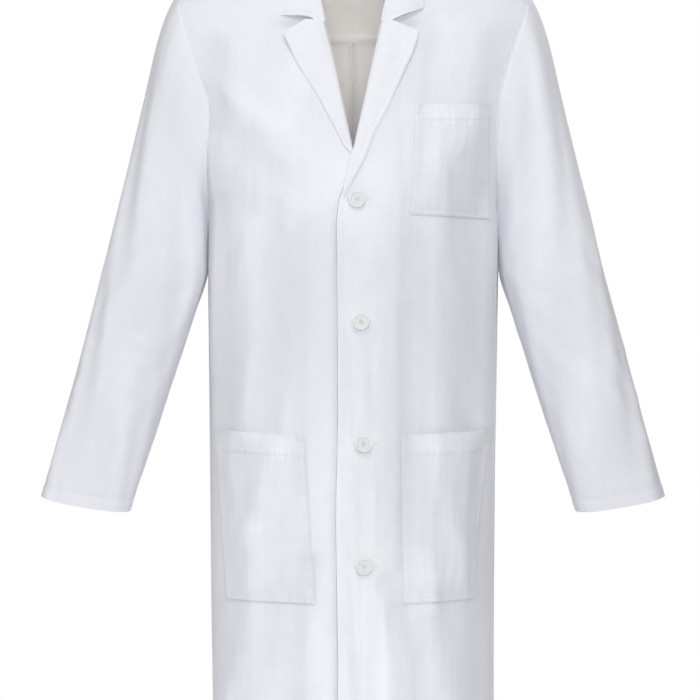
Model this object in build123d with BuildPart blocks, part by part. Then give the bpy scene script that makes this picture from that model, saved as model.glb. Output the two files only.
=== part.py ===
from build123d import *
import os

os.makedirs("parts", exist_ok=True)

# A long-sleeved laboratory coat with a notched collar, fastened by four buttons and
# hanging as it does when it is worn. Lengths are in millimetres.
# The origin is the middle of the neck opening, level with the tops of the shoulder seams.
# +Z is up, -Y is the coat's front and +X is the wearer's left.

# ---------------------------------------------------------------- driving dimensions
COAT_LENGTH = 1040.0  # top of the shoulder seam down to the hem
CLOTH = 1.6  # one layer of cloth with its turnings
AIR = 0.4  # space between two layers that lie on each other
LINING_LAYER = 1.2  # a collar layer
REACH = 600.0  # further than any piece, for cuts that go right through

# The torso's outline, from the hem up to the neck: height, half width, half depth.
TORSO_LEVELS = [
    (-COAT_LENGTH - 20.0, 172.0, 142.0),
    (-600.0, 176.0, 134.0),
    (-290.0, 180.0, 125.0),
    (-232.0, 202.0, 120.0),
    (-174.0, 224.0, 112.0),
    (-107.0, 257.0, 101.0),
    (-76.0, 270.0, 93.0),
    (-50.0, 254.0, 85.0),
    (-39.0, 217.0, 82.0),
    (0.0, 85.0, 65.0),
]
ROOF_START = -60.0  # above this the torso slopes in to the neck, like a roof
NECK_HALF_WIDTH, NECK_HALF_DEPTH = 83.0, 63.0

# Seams.
SIDE_SEAM_Y = -26.0  # the side seams lie a little in front of the widest line
SIDE_SEAM_TOP = -250.0
YOKE_SEAM_Z = -93.0
VENT_TOP_Z, VENT_UNDERLAP = -640.0, 40.0
VENT_FOLD_WIDTH = 3.0

# The armhole, seen from the front, from above the shoulder to below the underarm.
ARMHOLE_CURVE = [(219.0, -20.0), (211.0, -76.0), (193.0, -130.0), (184.0, -174.0), (182.0, -291.0)]
ARMHOLE_FOOT = (182.0, -430.0)
ARMHOLE_OVERRUN = 80.0  # how far the cut runs on above the shoulder

# The front opening, on the wearer's left: roll line of the lapel, then the front edge.
ROLL_LINE = [(64.0, 40.0), (40.0, -49.0), (1.5, -228.0)]
BREAK_POINT = (-12.0, -277.0)
LEFT_EDGE_X = -20.0  # the left front laps over the right one
EDGE_START_Z = -320.0
CENTRE_FRONT_X = 8.0
RIGHT_EDGE_X = 2 * CENTRE_FRONT_X - LEFT_EDGE_X
FACING_EDGE_X = 54.0  # the left facing's free edge
STEP_X = 58.0  # where the left front comes down off its facing
LEFT_RISE = 2 * (CLOTH + AIR)  # the left front over its facing and the right front

# Collar and lapels.
NOTCH = (48.8, -73.0)
LAPEL_TIP = (77.5, -85.0)
LAPEL_OUTER = [(70.8, -113.5), (40.3, -183.0), (13.4, -243.0), (-9.0, -287.0)]
RIGHT_LAPEL_END = [(17.0, -222.0), (4.0, -216.5)]  # where the left front covers the right lapel
GORGE = (42.0, -71.5)
COLLAR_CORNER = (86.5, -61.0)
COLLAR_SIDE = (106.0, -12.0)
COLLAR_OVERRUN = 8.0  # how far the collar's outline runs out past its widest point
COLLAR_SHOULDER_Z = 4.0  # height of the collar's outer edge over the shoulder seam
COLLAR_BACK_Y, COLLAR_BACK_Z = 80.0, -28.0
COLLAR_LEVELS = [(-80.0, 226.0, 107.0), (-30.0, 155.0, 87.0), (26.0, 76.0, 58.0)]
STAND_LEVELS = [(-6.0, 80.0, 60.0), (25.0, 71.5, 54.0)]
INTERFACING = 0.4

# Patch pockets: inner edge and outer edge at the top, then at the bottom, and heights.
HIP_POCKET_TOP_Z, HIP_POCKET_BOTTOM_Z = -580.0, -786.0
LEFT_POCKET_INNER, LEFT_POCKET_OUTER = (60.5, 60.5), (168.0, 152.0)
RIGHT_POCKET_INNER, RIGHT_POCKET_OUTER = (60.5, 47.0), (171.0, 155.0)
BREAST_TOP_Z, BREAST_BOTTOM_Z = -175.0, -313.0
BREAST_INNER, BREAST_OUTER = (75.5, 70.5), (170.0, 168.0)
POCKET_DEPTH = 14.0  # how far a pocket stands off the front
POCKET_RIM = 4.0  # width of the sewn edge

# The sleeves, from the shoulder to the cuff: underarm point, outer point, half depth.
SLEEVE_SECTIONS = [
    ((172.0, -283.0), (208.0, -28.0), 62.0),
    ((178.0, -288.5), (228.0, -56.0), 66.0),
    ((182.5, -292.5), (242.0, -98.0), 68.0),
    ((185.0, -303.0), (258.0, -170.0), 66.0),
    ((187.0, -330.0), (277.0, -250.0), 62.0),
    ((190.0, -387.0), (303.0, -355.5), 58.0),
    ((229.0, -534.0), (341.0, -503.0), 50.0),
    ((274.5, -673.5), (384.0, -655.0), 38.0),
]

# Buttons, from the top one down, and their buttonholes.
BUTTON_X = [5.0, 10.0, 13.0, 13.5]
TOP_BUTTON_Z, BUTTON_PITCH = -291.5, 149.5
BUTTON_RADIUS, BUTTON_THICKNESS = 10.5, 3.0
BUTTON_RIM_WIDTH, BUTTON_DISH_DEPTH = 2.6, 0.9
BUTTON_HOLE_RADIUS, BUTTON_HOLE_CIRCLE = 0.9, 2.4
BUTTON_STANDOFF = 6.2  # back of the button, outside the right front's outer face
THREAD_RADIUS, SHANK_RADIUS = 0.6, 1.4
THREAD_PASS_WIDTH = 1.6  # the threads that lie across the button's face
KNOT_RADIUS, KNOT_THICKNESS = 3.2, 0.5
BUTTONHOLE_LENGTH, BUTTONHOLE_HEIGHT = 26.0, 3.6
STITCH_WIDTH, STITCH_THICKNESS = 1.8, 0.7

# Hanger loop, inside the back of the neck.
LOOP_HALF_WIDTH, LOOP_GAP, LOOP_TAPE, LOOP_HEIGHT = 26.0, 9.0, 1.2, 7.0
LOOP_BACK_Y, LOOP_Z = 51.0, -16.0


# ---------------------------------------------------------------- shared forms
def torso_form(outset):
    """The whole torso as a solid, its skin moved out by outset."""
    with BuildPart() as form:
        for level, half_width, half_depth in TORSO_LEVELS:
            rise = outset if level > ROOF_START else 0.0
            with BuildSketch(Plane.XY.offset(level + rise)):
                Ellipse(half_width + outset, half_depth + outset)
        loft(ruled=True)
    return form.part


def cloth_layer(inner, outer):
    """A sheet of the torso between two outsets, open at the neck."""
    with BuildPart() as layer:
        add(torso_form(outer))
        add(torso_form(inner), mode=Mode.SUBTRACT)
        with BuildSketch(Plane.XY.offset(ROOF_START)):
            Ellipse(NECK_HALF_WIDTH, NECK_HALF_DEPTH)
        extrude(amount=REACH, mode=Mode.SUBTRACT)
    return layer.part


def front_view_block(points):
    """A block in front of the coat's middle whose outline, seen from the front, is points."""
    with BuildPart() as block:
        with BuildSketch(Plane.XZ):
            with BuildLine():
                Polyline(*points, close=True)
            make_face()
        extrude(amount=REACH)
    return block.part


def armhole_block(clearance):
    """Everything outside both armholes, moved out by clearance."""
    with BuildPart() as block:
        with BuildSketch(Plane.XZ):
            with BuildLine():
                curve = Spline(*[(x + clearance, z) for x, z in ARMHOLE_CURVE])
                top = (curve @ 0) + Vector(0, ARMHOLE_OVERRUN)
                Polyline(
                    curve @ 1,
                    (ARMHOLE_FOOT[0] + clearance, ARMHOLE_FOOT[1]),
                    (ARMHOLE_FOOT[0] + clearance, -REACH - COAT_LENGTH),
                    (REACH, -REACH - COAT_LENGTH),
                    (REACH, top.Y),
                    top,
                    curve @ 0,
                )
            make_face()
        extrude(amount=REACH, both=True)
        mirror(about=Plane.YZ)
    return block.part


def half_coat_block(front):
    """The coat's front or back half, split along the side seams and the shoulder seams."""
    side = -1 if front else 1
    seam = side * AIR / 2
    with BuildPart() as block:
        with BuildSketch(Plane.YZ):
            with BuildLine():
                Polyline(
                    (SIDE_SEAM_Y + seam, -COAT_LENGTH),
                    (SIDE_SEAM_Y + seam, SIDE_SEAM_TOP),
                    (seam, SIDE_SEAM_TOP),
                    (seam, REACH),
                    (side * REACH, REACH),
                    (side * REACH, -COAT_LENGTH),
                    close=True,
                )
            make_face()
        extrude(amount=REACH, both=True)
    return block.part


def mirrored(points):
    """The same outline on the wearer's right."""
    return [(-x, z) for x, z in points]


def half_depth_at(z):
    """The torso's half depth at a height."""
    for low, high in zip(TORSO_LEVELS, TORSO_LEVELS[1:]):
        if low[0] <= z <= high[0]:
            share = (z - low[0]) / (high[0] - low[0])
            return low[2] + share * (high[2] - low[2])
    return NECK_HALF_DEPTH


torso_sheet = cloth_layer(-CLOTH, 0.0)
armholes = armhole_block(0.0)
front_half = half_coat_block(front=True)
back_half = half_coat_block(front=False)
button_levels = [TOP_BUTTON_Z - BUTTON_PITCH * number for number in range(len(BUTTON_X))]

# ---------------------------------------------------------------- outlines seen from the front
left_opening_edge = ROLL_LINE + [BREAK_POINT, (LEFT_EDGE_X, EDGE_START_Z), (LEFT_EDGE_X, -COAT_LENGTH)]
right_opening_edge = mirrored(ROLL_LINE) + [
    (2 * CENTRE_FRONT_X - BREAK_POINT[0], BREAK_POINT[1]),
    (RIGHT_EDGE_X, EDGE_START_Z),
    (RIGHT_EDGE_X, -COAT_LENGTH),
]
left_panel_outline = left_opening_edge + [(REACH, -COAT_LENGTH), (REACH, ROLL_LINE[0][1])]
right_panel_outline = right_opening_edge + [(-REACH, -COAT_LENGTH), (-REACH, ROLL_LINE[0][1])]


def rolled_edge(edge, turn, width):
    """A narrow strip of the given width along the roll line, on the side that turn says."""
    line = edge[: len(ROLL_LINE)]
    return line + [(x + turn * width, z) for x, z in reversed(line)]


# ---------------------------------------------------------------- back panels and yoke
with BuildPart() as back_left:
    add(torso_sheet)
    add(armholes, mode=Mode.SUBTRACT)
    add(back_half, mode=Mode.INTERSECT)
    with BuildSketch(Plane.XZ):
        with BuildLine():
            Polyline(
                (AIR / 2, YOKE_SEAM_Z - AIR / 2),
                (REACH, YOKE_SEAM_Z - AIR / 2),
                (REACH, -COAT_LENGTH),
                (AIR / 2, -COAT_LENGTH),
                close=True,
            )
        make_face()
    extrude(amount=REACH, both=True, mode=Mode.INTERSECT)
back_left.part.label = "back_left"
export_step(back_left.part, "parts/back_left.step")

# The right back carries the vent's underlap, a strip that passes inside the left back.
underlap_sheet = cloth_layer(-2 * CLOTH - AIR, -CLOTH - AIR)
fold_sheet = cloth_layer(-2 * CLOTH - AIR, 0.0)
with BuildPart() as vent_underlap:
    add(underlap_sheet)
    with BuildSketch(Plane.XZ):
        with Locations((-VENT_FOLD_WIDTH, -COAT_LENGTH)):
            Rectangle(
                VENT_UNDERLAP + VENT_FOLD_WIDTH,
                COAT_LENGTH + VENT_TOP_Z,
                align=(Align.MIN, Align.MIN),
            )
    extrude(amount=-REACH, mode=Mode.INTERSECT)
with BuildPart() as vent_fold:
    add(fold_sheet)
    with BuildSketch(Plane.XZ):
        with Locations((-AIR / 2, -COAT_LENGTH)):
            Rectangle(VENT_FOLD_WIDTH, COAT_LENGTH + VENT_TOP_Z, align=(Align.MAX, Align.MIN))
    extrude(amount=-REACH, mode=Mode.INTERSECT)
with BuildPart() as back_right:
    mirror(back_left.part, about=Plane.YZ)
    add(vent_underlap.part)
    add(vent_fold.part)
back_right.part.label = "back_right"
export_step(back_right.part, "parts/back_right.step")

with BuildPart() as back_yoke:
    add(torso_sheet)
    add(armholes, mode=Mode.SUBTRACT)
    add(back_half, mode=Mode.INTERSECT)
    with BuildSketch(Plane.XY.offset(YOKE_SEAM_Z + AIR / 2)):
        Rectangle(2 * REACH, 2 * REACH)
    extrude(amount=REACH, mode=Mode.INTERSECT)
back_yoke.part.label = "back_yoke"
export_step(back_yoke.part, "parts/back_yoke.step")

# ---------------------------------------------------------------- front panels
# A facing wraps the roll line, so each front panel stops short of it.
wrap = CLOTH + AIR
with BuildPart() as right_front:
    add(torso_sheet)
    add(armholes, mode=Mode.SUBTRACT)
    add(front_half, mode=Mode.INTERSECT)
    add(front_view_block(right_panel_outline), mode=Mode.INTERSECT)
    add(front_view_block(rolled_edge(right_opening_edge, -1, wrap)), mode=Mode.SUBTRACT)
right_front.part.label = "right_front"
export_step(right_front.part, "parts/right_front.step")

# The left front runs over its own facing and the right front, and steps down beside them.
raised_sheet = cloth_layer(LEFT_RISE - CLOTH, LEFT_RISE)
step_sheet = cloth_layer(-CLOTH, LEFT_RISE)
with BuildPart() as raised_zone:
    with BuildSketch(Plane.XZ):
        with Locations((STEP_X, 0)):
            Rectangle(REACH, 2 * COAT_LENGTH + REACH, align=(Align.MAX, Align.CENTER))
    extrude(amount=REACH)
with BuildPart() as step_zone:
    with BuildSketch(Plane.XZ):
        with Locations((STEP_X, 0)):
            Rectangle(CLOTH, 2 * COAT_LENGTH + REACH)
    extrude(amount=REACH)
with BuildPart() as left_step:
    add(step_sheet)
    add(step_zone.part, mode=Mode.INTERSECT)
with BuildPart() as left_raised:
    add(raised_sheet)
    add(raised_zone.part, mode=Mode.INTERSECT)
with BuildPart() as left_front:
    add(torso_sheet)
    add(raised_zone.part, mode=Mode.SUBTRACT)
    add(left_raised.part)
    add(left_step.part)
    add(armholes, mode=Mode.SUBTRACT)
    add(front_half, mode=Mode.INTERSECT)
    add(front_view_block(left_panel_outline), mode=Mode.INTERSECT)
    add(front_view_block(rolled_edge(left_opening_edge, 1, wrap)), mode=Mode.SUBTRACT)
    for button_x, level in zip(BUTTON_X, button_levels):
        with BuildSketch(Plane.XZ):
            with Locations((button_x, level)):
                SlotOverall(BUTTONHOLE_LENGTH, BUTTONHOLE_HEIGHT)
        extrude(amount=REACH, mode=Mode.SUBTRACT)
left_front.part.label = "left_front"
export_step(left_front.part, "parts/left_front.step")


# ---------------------------------------------------------------- facings with their lapels
def facing(strip_layer, strip_outline, lapel_layer, lapel_outline, roll_outline):
    """A facing: a strip behind the front edge, which rolls over and lies outside as the lapel."""
    with BuildPart() as strip:
        add(cloth_layer(*strip_layer))
        add(front_view_block(strip_outline), mode=Mode.INTERSECT)
    with BuildPart() as lapel:
        add(cloth_layer(*lapel_layer))
        add(front_view_block(lapel_outline), mode=Mode.INTERSECT)
    with BuildPart() as roll:
        add(cloth_layer(strip_layer[0], lapel_layer[1]))
        add(front_view_block(roll_outline), mode=Mode.INTERSECT)
    with BuildPart() as whole:
        add(roll.part)
        add(strip.part)
        add(lapel.part)
    return whole.part


roll_neck, roll_foot = ROLL_LINE[1:]
roll_slope = (roll_neck[0] - roll_foot[0]) / (roll_neck[1] - roll_foot[1])
gorge_on_roll = (roll_foot[0] + (GORGE[1] - roll_foot[1]) * roll_slope, GORGE[1])
facing_top = (FACING_EDGE_X, GORGE[1])
left_lapel_outline = [
    gorge_on_roll,
    GORGE,
    NOTCH,
    LAPEL_TIP,
    *LAPEL_OUTER,
    BREAK_POINT,
    roll_foot,
]
left_roll_outline = [
    gorge_on_roll,
    roll_foot,
    (roll_foot[0] + CLOTH, roll_foot[1]),
    (gorge_on_roll[0] + CLOTH, gorge_on_roll[1]),
]
with BuildPart() as left_facing:
    add(
        facing(
            (AIR, AIR + CLOTH),
            [
                gorge_on_roll,
                roll_foot,
                *left_opening_edge[len(ROLL_LINE) :],
                (FACING_EDGE_X, -COAT_LENGTH),
                facing_top,
            ],
            (LEFT_RISE + AIR, LEFT_RISE + AIR + CLOTH),
            left_lapel_outline,
            left_roll_outline,
        )
    )
    for button_x, level in zip(BUTTON_X, button_levels):
        with BuildSketch(Plane.XZ):
            with Locations((button_x, level)):
                SlotOverall(BUTTONHOLE_LENGTH, BUTTONHOLE_HEIGHT)
        extrude(amount=REACH, mode=Mode.SUBTRACT)
left_facing.part.label = "left_facing"
export_step(left_facing.part, "parts/left_facing.step")

# The right lapel ends where the left front covers it.
right_lapel_outline = mirrored(
    [gorge_on_roll, GORGE, NOTCH, LAPEL_TIP, *LAPEL_OUTER[:2], *RIGHT_LAPEL_END]
)
with BuildPart() as right_facing:
    add(
        facing(
            (-2 * CLOTH - AIR, -CLOTH - AIR),
            [
                *mirrored([gorge_on_roll, roll_foot]),
                *right_opening_edge[len(ROLL_LINE) :],
                (2 * CENTRE_FRONT_X - FACING_EDGE_X, -COAT_LENGTH),
                *mirrored([facing_top]),
            ],
            (AIR, AIR + CLOTH),
            right_lapel_outline,
            mirrored(left_roll_outline),
        )
    )
right_facing.part.label = "right_facing"
export_step(right_facing.part, "parts/right_facing.step")


# ---------------------------------------------------------------- collar
def collar_form(levels, inset):
    """The solid under a collar surface, its skin moved in by inset."""
    with BuildPart() as form:
        for level, half_width, half_depth in levels:
            with BuildSketch(Plane.XY.offset(level)):
                Ellipse(half_width - inset, half_depth - inset)
        loft(ruled=True)
    return form.part


collar_front_outline = [
    ROLL_LINE[0],
    (gorge_on_roll[0], gorge_on_roll[1] + AIR),
    (GORGE[0], GORGE[1] + AIR),
    (NOTCH[0], NOTCH[1] + 2 * AIR),
    COLLAR_CORNER,
    COLLAR_SIDE,
    (COLLAR_SIDE[0] + COLLAR_OVERRUN, ROLL_LINE[0][1]),
]
COLLAR_THICKNESS = 2 * LINING_LAYER + AIR + INTERFACING
COLLAR_RISE = LEFT_RISE + AIR + COLLAR_THICKNESS  # the collar's outer face over the torso


def fall_layer(outer_inset, inner_inset):
    """One layer of the collar's fall, which lies round the neck and ends in two notched leaves."""
    with BuildPart() as leaves:
        add(front_view_block(collar_front_outline))
        mirror(about=Plane.YZ)
        with BuildSketch(Plane.YZ):
            with BuildLine():
                Polyline(
                    (0, COLLAR_SHOULDER_Z),
                    (COLLAR_BACK_Y, COLLAR_BACK_Z),
                    (REACH, COLLAR_BACK_Z),
                    (REACH, REACH),
                    (0, REACH),
                    close=True,
                )
            make_face()
        extrude(amount=REACH, both=True)
    with BuildPart() as under:
        add(collar_form(COLLAR_LEVELS, inner_inset))
        add(torso_form(COLLAR_RISE - inner_inset))
    with BuildPart() as layer:
        add(collar_form(COLLAR_LEVELS, outer_inset))
        add(torso_form(COLLAR_RISE - outer_inset))
        add(under.part, mode=Mode.SUBTRACT)
        add(leaves.part, mode=Mode.INTERSECT)
    return layer.part


COLLAR_STACK = {
    "top_collar": (0.0, LINING_LAYER),
    "collar_interfacing": (LINING_LAYER + AIR / 2, LINING_LAYER + AIR / 2 + INTERFACING),
    "under_collar": (LINING_LAYER + AIR + INTERFACING, COLLAR_THICKNESS),
}
for collar_name, (outer_inset, inner_inset) in COLLAR_STACK.items():
    with BuildPart() as collar_piece:
        add(fall_layer(outer_inset, inner_inset))
    collar_piece.part.label = collar_name
    export_step(collar_piece.part, f"parts/{collar_name}.step")

with BuildPart() as collar_stand:
    add(collar_form(STAND_LEVELS, 0.0))
    add(collar_form(STAND_LEVELS, LINING_LAYER), mode=Mode.SUBTRACT)
    add(
        front_view_block([ROLL_LINE[0], (0.0, roll_foot[1]), *mirrored(ROLL_LINE[:1])]),
        mode=Mode.SUBTRACT,
    )
collar_stand.part.label = "collar_stand"
export_step(collar_stand.part, "parts/collar_stand.step")


# ---------------------------------------------------------------- pockets
def patch_pocket(side, inner, outer, top, bottom):
    """A patch pocket: a sheet that stands off the front, with a sewn rim round three sides."""
    outline = [(inner[0], top), (outer[0], top), (outer[1], bottom), (inner[1], bottom)]
    hollow = [
        (inner[0] + POCKET_RIM, top + POCKET_RIM),
        (outer[0] - POCKET_RIM, top + POCKET_RIM),
        (outer[1] - POCKET_RIM, bottom + POCKET_RIM),
        (inner[1] + POCKET_RIM, bottom + POCKET_RIM),
    ]
    with BuildPart() as inside:
        add(torso_form(POCKET_DEPTH - CLOTH))
        add(front_view_block([(side * x, z) for x, z in hollow]), mode=Mode.INTERSECT)
    with BuildPart() as pocket:
        add(torso_form(POCKET_DEPTH))
        add(torso_form(AIR), mode=Mode.SUBTRACT)
        add(front_view_block([(side * x, z) for x, z in outline]), mode=Mode.INTERSECT)
        add(inside.part, mode=Mode.SUBTRACT)
    return pocket.part


POCKETS = {
    "left_hip_pocket": (1, LEFT_POCKET_INNER, LEFT_POCKET_OUTER, HIP_POCKET_TOP_Z, HIP_POCKET_BOTTOM_Z),
    "right_hip_pocket": (-1, RIGHT_POCKET_INNER, RIGHT_POCKET_OUTER, HIP_POCKET_TOP_Z, HIP_POCKET_BOTTOM_Z),
    "breast_pocket": (1, BREAST_INNER, BREAST_OUTER, BREAST_TOP_Z, BREAST_BOTTOM_Z),
}
for pocket_name, layout in POCKETS.items():
    with BuildPart() as pocket:
        add(patch_pocket(*layout))
    pocket.part.label = pocket_name
    export_step(pocket.part, f"parts/{pocket_name}.step")


# ---------------------------------------------------------------- sleeves
def sleeve_plane(underarm, outer):
    """The plane of a cross-section of the left sleeve, facing down the arm."""
    across = Vector(outer[0] - underarm[0], 0, outer[1] - underarm[1])
    middle = Vector((outer[0] + underarm[0]) / 2, 0, (outer[1] + underarm[1]) / 2)
    return Plane(origin=middle, x_dir=across, z_dir=Vector(0, 1, 0).cross(across)), across.length / 2


def sleeve_form(inset, overrun):
    """The left sleeve as a solid, its skin moved in by inset and run on past the cuff."""
    with BuildPart() as form:
        for upper, lower in zip(SLEEVE_SECTIONS, SLEEVE_SECTIONS[1:]):
            for underarm, outer, half_depth in (upper, lower):
                section, half_width = sleeve_plane(underarm, outer)
                with BuildSketch(section):
                    Ellipse(half_width - inset, half_depth - inset)
            loft()
        if overrun:
            extrude(faces().sort_by(Axis.Z)[0], amount=overrun)
    return form.part


with BuildPart() as left_sleeve:
    add(sleeve_form(0.0, 0.0))
    add(sleeve_form(CLOTH, CLOTH), mode=Mode.SUBTRACT)
    add(armhole_block(2 * AIR), mode=Mode.INTERSECT)
left_sleeve.part.label = "left_sleeve"
export_step(left_sleeve.part, "parts/left_sleeve.step")

with BuildPart() as right_sleeve:
    mirror(left_sleeve.part, about=Plane.YZ)
right_sleeve.part.label = "right_sleeve"
export_step(right_sleeve.part, "parts/right_sleeve.step")

# ---------------------------------------------------------------- buttons
hole_spacing = BUTTON_HOLE_CIRCLE * 2**0.5
shank_length = BUTTON_STANDOFF - 2 * AIR
for number, (button_x, level) in enumerate(zip(BUTTON_X, button_levels), start=1):
    back_y = -half_depth_at(level) - BUTTON_STANDOFF
    back = Plane(origin=(button_x, back_y, level), x_dir=(1, 0, 0), z_dir=(0, -1, 0))

    with BuildPart() as button:
        with BuildSketch(back):
            Circle(BUTTON_RADIUS)
        extrude(amount=BUTTON_THICKNESS)
        fillet(button.edges().filter_by(GeomType.CIRCLE), BUTTON_THICKNESS / 3)
        with BuildSketch(back.offset(BUTTON_THICKNESS - BUTTON_DISH_DEPTH)):
            Circle(BUTTON_RADIUS - BUTTON_RIM_WIDTH)
        extrude(amount=BUTTON_THICKNESS, mode=Mode.SUBTRACT)
        with BuildSketch(back):
            with PolarLocations(BUTTON_HOLE_CIRCLE, 4, start_angle=45):
                Circle(BUTTON_HOLE_RADIUS)
        extrude(amount=BUTTON_THICKNESS, mode=Mode.SUBTRACT)
    button.part.label = f"button_{number}"
    export_step(button.part, f"parts/button_{number}.step")

    with BuildPart() as thread:
        with BuildSketch(back.offset(-AIR / 2)):
            Circle(KNOT_RADIUS)
        extrude(amount=-KNOT_THICKNESS)
        with BuildSketch(back.offset(-AIR / 2)):
            Circle(SHANK_RADIUS)
        extrude(amount=-shank_length + AIR)
        with BuildSketch(back.offset(-AIR)):
            with PolarLocations(BUTTON_HOLE_CIRCLE, 4, start_angle=45):
                Circle(THREAD_RADIUS)
        extrude(amount=BUTTON_THICKNESS - BUTTON_DISH_DEPTH + AIR + THREAD_RADIUS)
        with BuildSketch(back.offset(BUTTON_THICKNESS - BUTTON_DISH_DEPTH + AIR / 2)):
            with GridLocations(0, hole_spacing, 1, 2):
                SlotCenterToCenter(hole_spacing, THREAD_PASS_WIDTH)
        extrude(amount=2 * THREAD_RADIUS)
    thread.part.label = f"button_thread_{number}"
    export_step(thread.part, f"parts/button_thread_{number}.step")

# The four stitched edges of the buttonholes.
rim_sheet = cloth_layer(LEFT_RISE + AIR, LEFT_RISE + AIR + STITCH_THICKNESS)
with BuildPart() as stitch_frames:
    for button_x, level in zip(BUTTON_X, button_levels):
        with BuildSketch(Plane.XZ):
            with Locations((button_x, level)):
                SlotOverall(BUTTONHOLE_LENGTH + 2 * STITCH_WIDTH, BUTTONHOLE_HEIGHT + 2 * STITCH_WIDTH)
                SlotOverall(BUTTONHOLE_LENGTH, BUTTONHOLE_HEIGHT, mode=Mode.SUBTRACT)
        extrude(amount=REACH)
with BuildPart() as buttonhole_stitching:
    add(rim_sheet)
    add(stitch_frames.part, mode=Mode.INTERSECT)
buttonhole_stitching.part.label = "buttonhole_stitching"
export_step(buttonhole_stitching.part, "parts/buttonhole_stitching.step")

# ---------------------------------------------------------------- hanger loop
with BuildPart() as hanger_loop:
    with BuildSketch(Plane.XY.offset(LOOP_Z)):
        with Locations((0, LOOP_BACK_Y)):
            Rectangle(
                2 * LOOP_HALF_WIDTH,
                LOOP_GAP + 2 * LOOP_TAPE,
                align=(Align.CENTER, Align.MAX),
            )
            with Locations((0, -LOOP_TAPE)):
                Rectangle(
                    2 * (LOOP_HALF_WIDTH - LOOP_TAPE),
                    LOOP_GAP,
                    align=(Align.CENTER, Align.MAX),
                    mode=Mode.SUBTRACT,
                )
    extrude(amount=LOOP_HEIGHT)
hanger_loop.part.label = "hanger_loop"
export_step(hanger_loop.part, "parts/hanger_loop.step")
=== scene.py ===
import math

import bpy
import numpy as np
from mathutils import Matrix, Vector


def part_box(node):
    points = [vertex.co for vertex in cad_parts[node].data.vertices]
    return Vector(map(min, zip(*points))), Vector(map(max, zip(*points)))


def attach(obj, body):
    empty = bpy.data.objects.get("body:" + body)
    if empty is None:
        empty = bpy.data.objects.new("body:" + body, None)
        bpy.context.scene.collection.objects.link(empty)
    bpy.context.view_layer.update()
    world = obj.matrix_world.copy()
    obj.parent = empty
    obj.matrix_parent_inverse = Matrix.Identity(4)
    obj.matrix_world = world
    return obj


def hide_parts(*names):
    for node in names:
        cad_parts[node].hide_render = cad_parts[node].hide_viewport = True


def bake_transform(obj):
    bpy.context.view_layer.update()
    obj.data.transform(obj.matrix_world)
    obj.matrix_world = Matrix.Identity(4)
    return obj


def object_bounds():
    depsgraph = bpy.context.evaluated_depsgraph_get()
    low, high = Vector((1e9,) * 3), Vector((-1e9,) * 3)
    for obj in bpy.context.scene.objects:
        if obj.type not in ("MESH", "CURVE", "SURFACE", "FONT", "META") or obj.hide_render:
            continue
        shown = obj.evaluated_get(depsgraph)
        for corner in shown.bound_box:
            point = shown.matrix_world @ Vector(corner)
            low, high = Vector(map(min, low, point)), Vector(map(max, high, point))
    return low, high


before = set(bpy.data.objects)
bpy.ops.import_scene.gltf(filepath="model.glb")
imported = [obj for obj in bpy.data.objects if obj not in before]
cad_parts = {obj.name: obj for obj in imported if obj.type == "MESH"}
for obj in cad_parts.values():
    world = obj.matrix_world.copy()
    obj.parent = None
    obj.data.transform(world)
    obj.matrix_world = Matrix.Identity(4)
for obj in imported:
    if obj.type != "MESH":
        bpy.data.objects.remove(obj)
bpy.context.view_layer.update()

# Shapes are worked out in millimetres, in the frame of the CAD model, and written in metres.
MM = 0.001
SEED = 7000  # every field of random waves adds its own number

# ------------------------------------------------------------------ the coat's form
# Height, half width and half depth of the torso.
LEVELS = np.array([
    (-1060.0, 172.0, 142.0), (-600.0, 176.0, 134.0), (-290.0, 180.0, 125.0), (-232.0, 202.0, 120.0),
    (-174.0, 224.0, 112.0), (-107.0, 257.0, 101.0), (-76.0, 270.0, 93.0), (-50.0, 254.0, 85.0),
    (-39.0, 217.0, 82.0), (0.0, 85.0, 65.0),
])
SQUARE = 2.35  # exponent of the cross-section, a little flatter than an ellipse
HEM_Z = -1040.0
SIDE_SEAM_Y = -26.0
YOKE_Z = -93.0
VENT_TOP = -640.0
SHOULDER_Z = -62.0  # above this the torso slopes in like a roof
BREAK_Z = -228.0  # where the lapels' roll meets the front edges
UNDERARM_Z = -292.0
LEFT_RISE = 4.0  # the left front over its facing and the right front
FACING_EDGE_X = 54.0
ARMHOLE = [(219.0, -20.0), (211.0, -76.0), (193.0, -130.0), (184.0, -174.0), (182.0, -291.0),
           (182.0, -430.0)]
ROLL = [(64.0, 40.0), (40.0, -49.0), (1.5, BREAK_Z)]
LEFT_EDGE = [(-5.4, -244.0), (-7.3, -257.0), (-12.0, -277.0), (-17.6, -293.0), (-20.7, -321.0),
             (-20.0, -420.0), (-19.0, -560.0), (-21.0, -700.0), (-18.5, -860.0), (-20.0, -1040.0)]
RIGHT_EDGE = [(28.0, -290.0), (36.0, -320.0), (36.0, -1040.0)]
ROLL_END = (35.2, -71.5)
GORGE, LEFT_NOTCH, RIGHT_NOTCH = (42.0, -71.5), (48.8, -73.0), (57.3, -71.0)
LEFT_LAPEL_INNER = [ROLL_END, (1.5, BREAK_Z), (-5.4, -244.0), (-12.0, -277.0), (-11.5, -289.0)]
LEFT_LAPEL_OUTER = [(77.5, -85.0), (76.9, -92.7), (70.8, -113.5), (55.0, -149.0), (40.3, -183.0),
                    (25.6, -211.0), (13.4, -243.0), (-3.7, -277.0), (-10.5, -290.0)]
RIGHT_LAPEL_INNER = [ROLL_END, (8.0, -198.0), (1.5, BREAK_Z), (0.0, -234.0)]
RIGHT_LAPEL_OUTER = [(83.0, -87.0), (82.5, -90.0), (76.9, -102.5), (65.9, -127.0), (41.5, -167.0),
                     (20.7, -206.0), (10.0, -228.0), (1.0, -236.0)]
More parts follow.
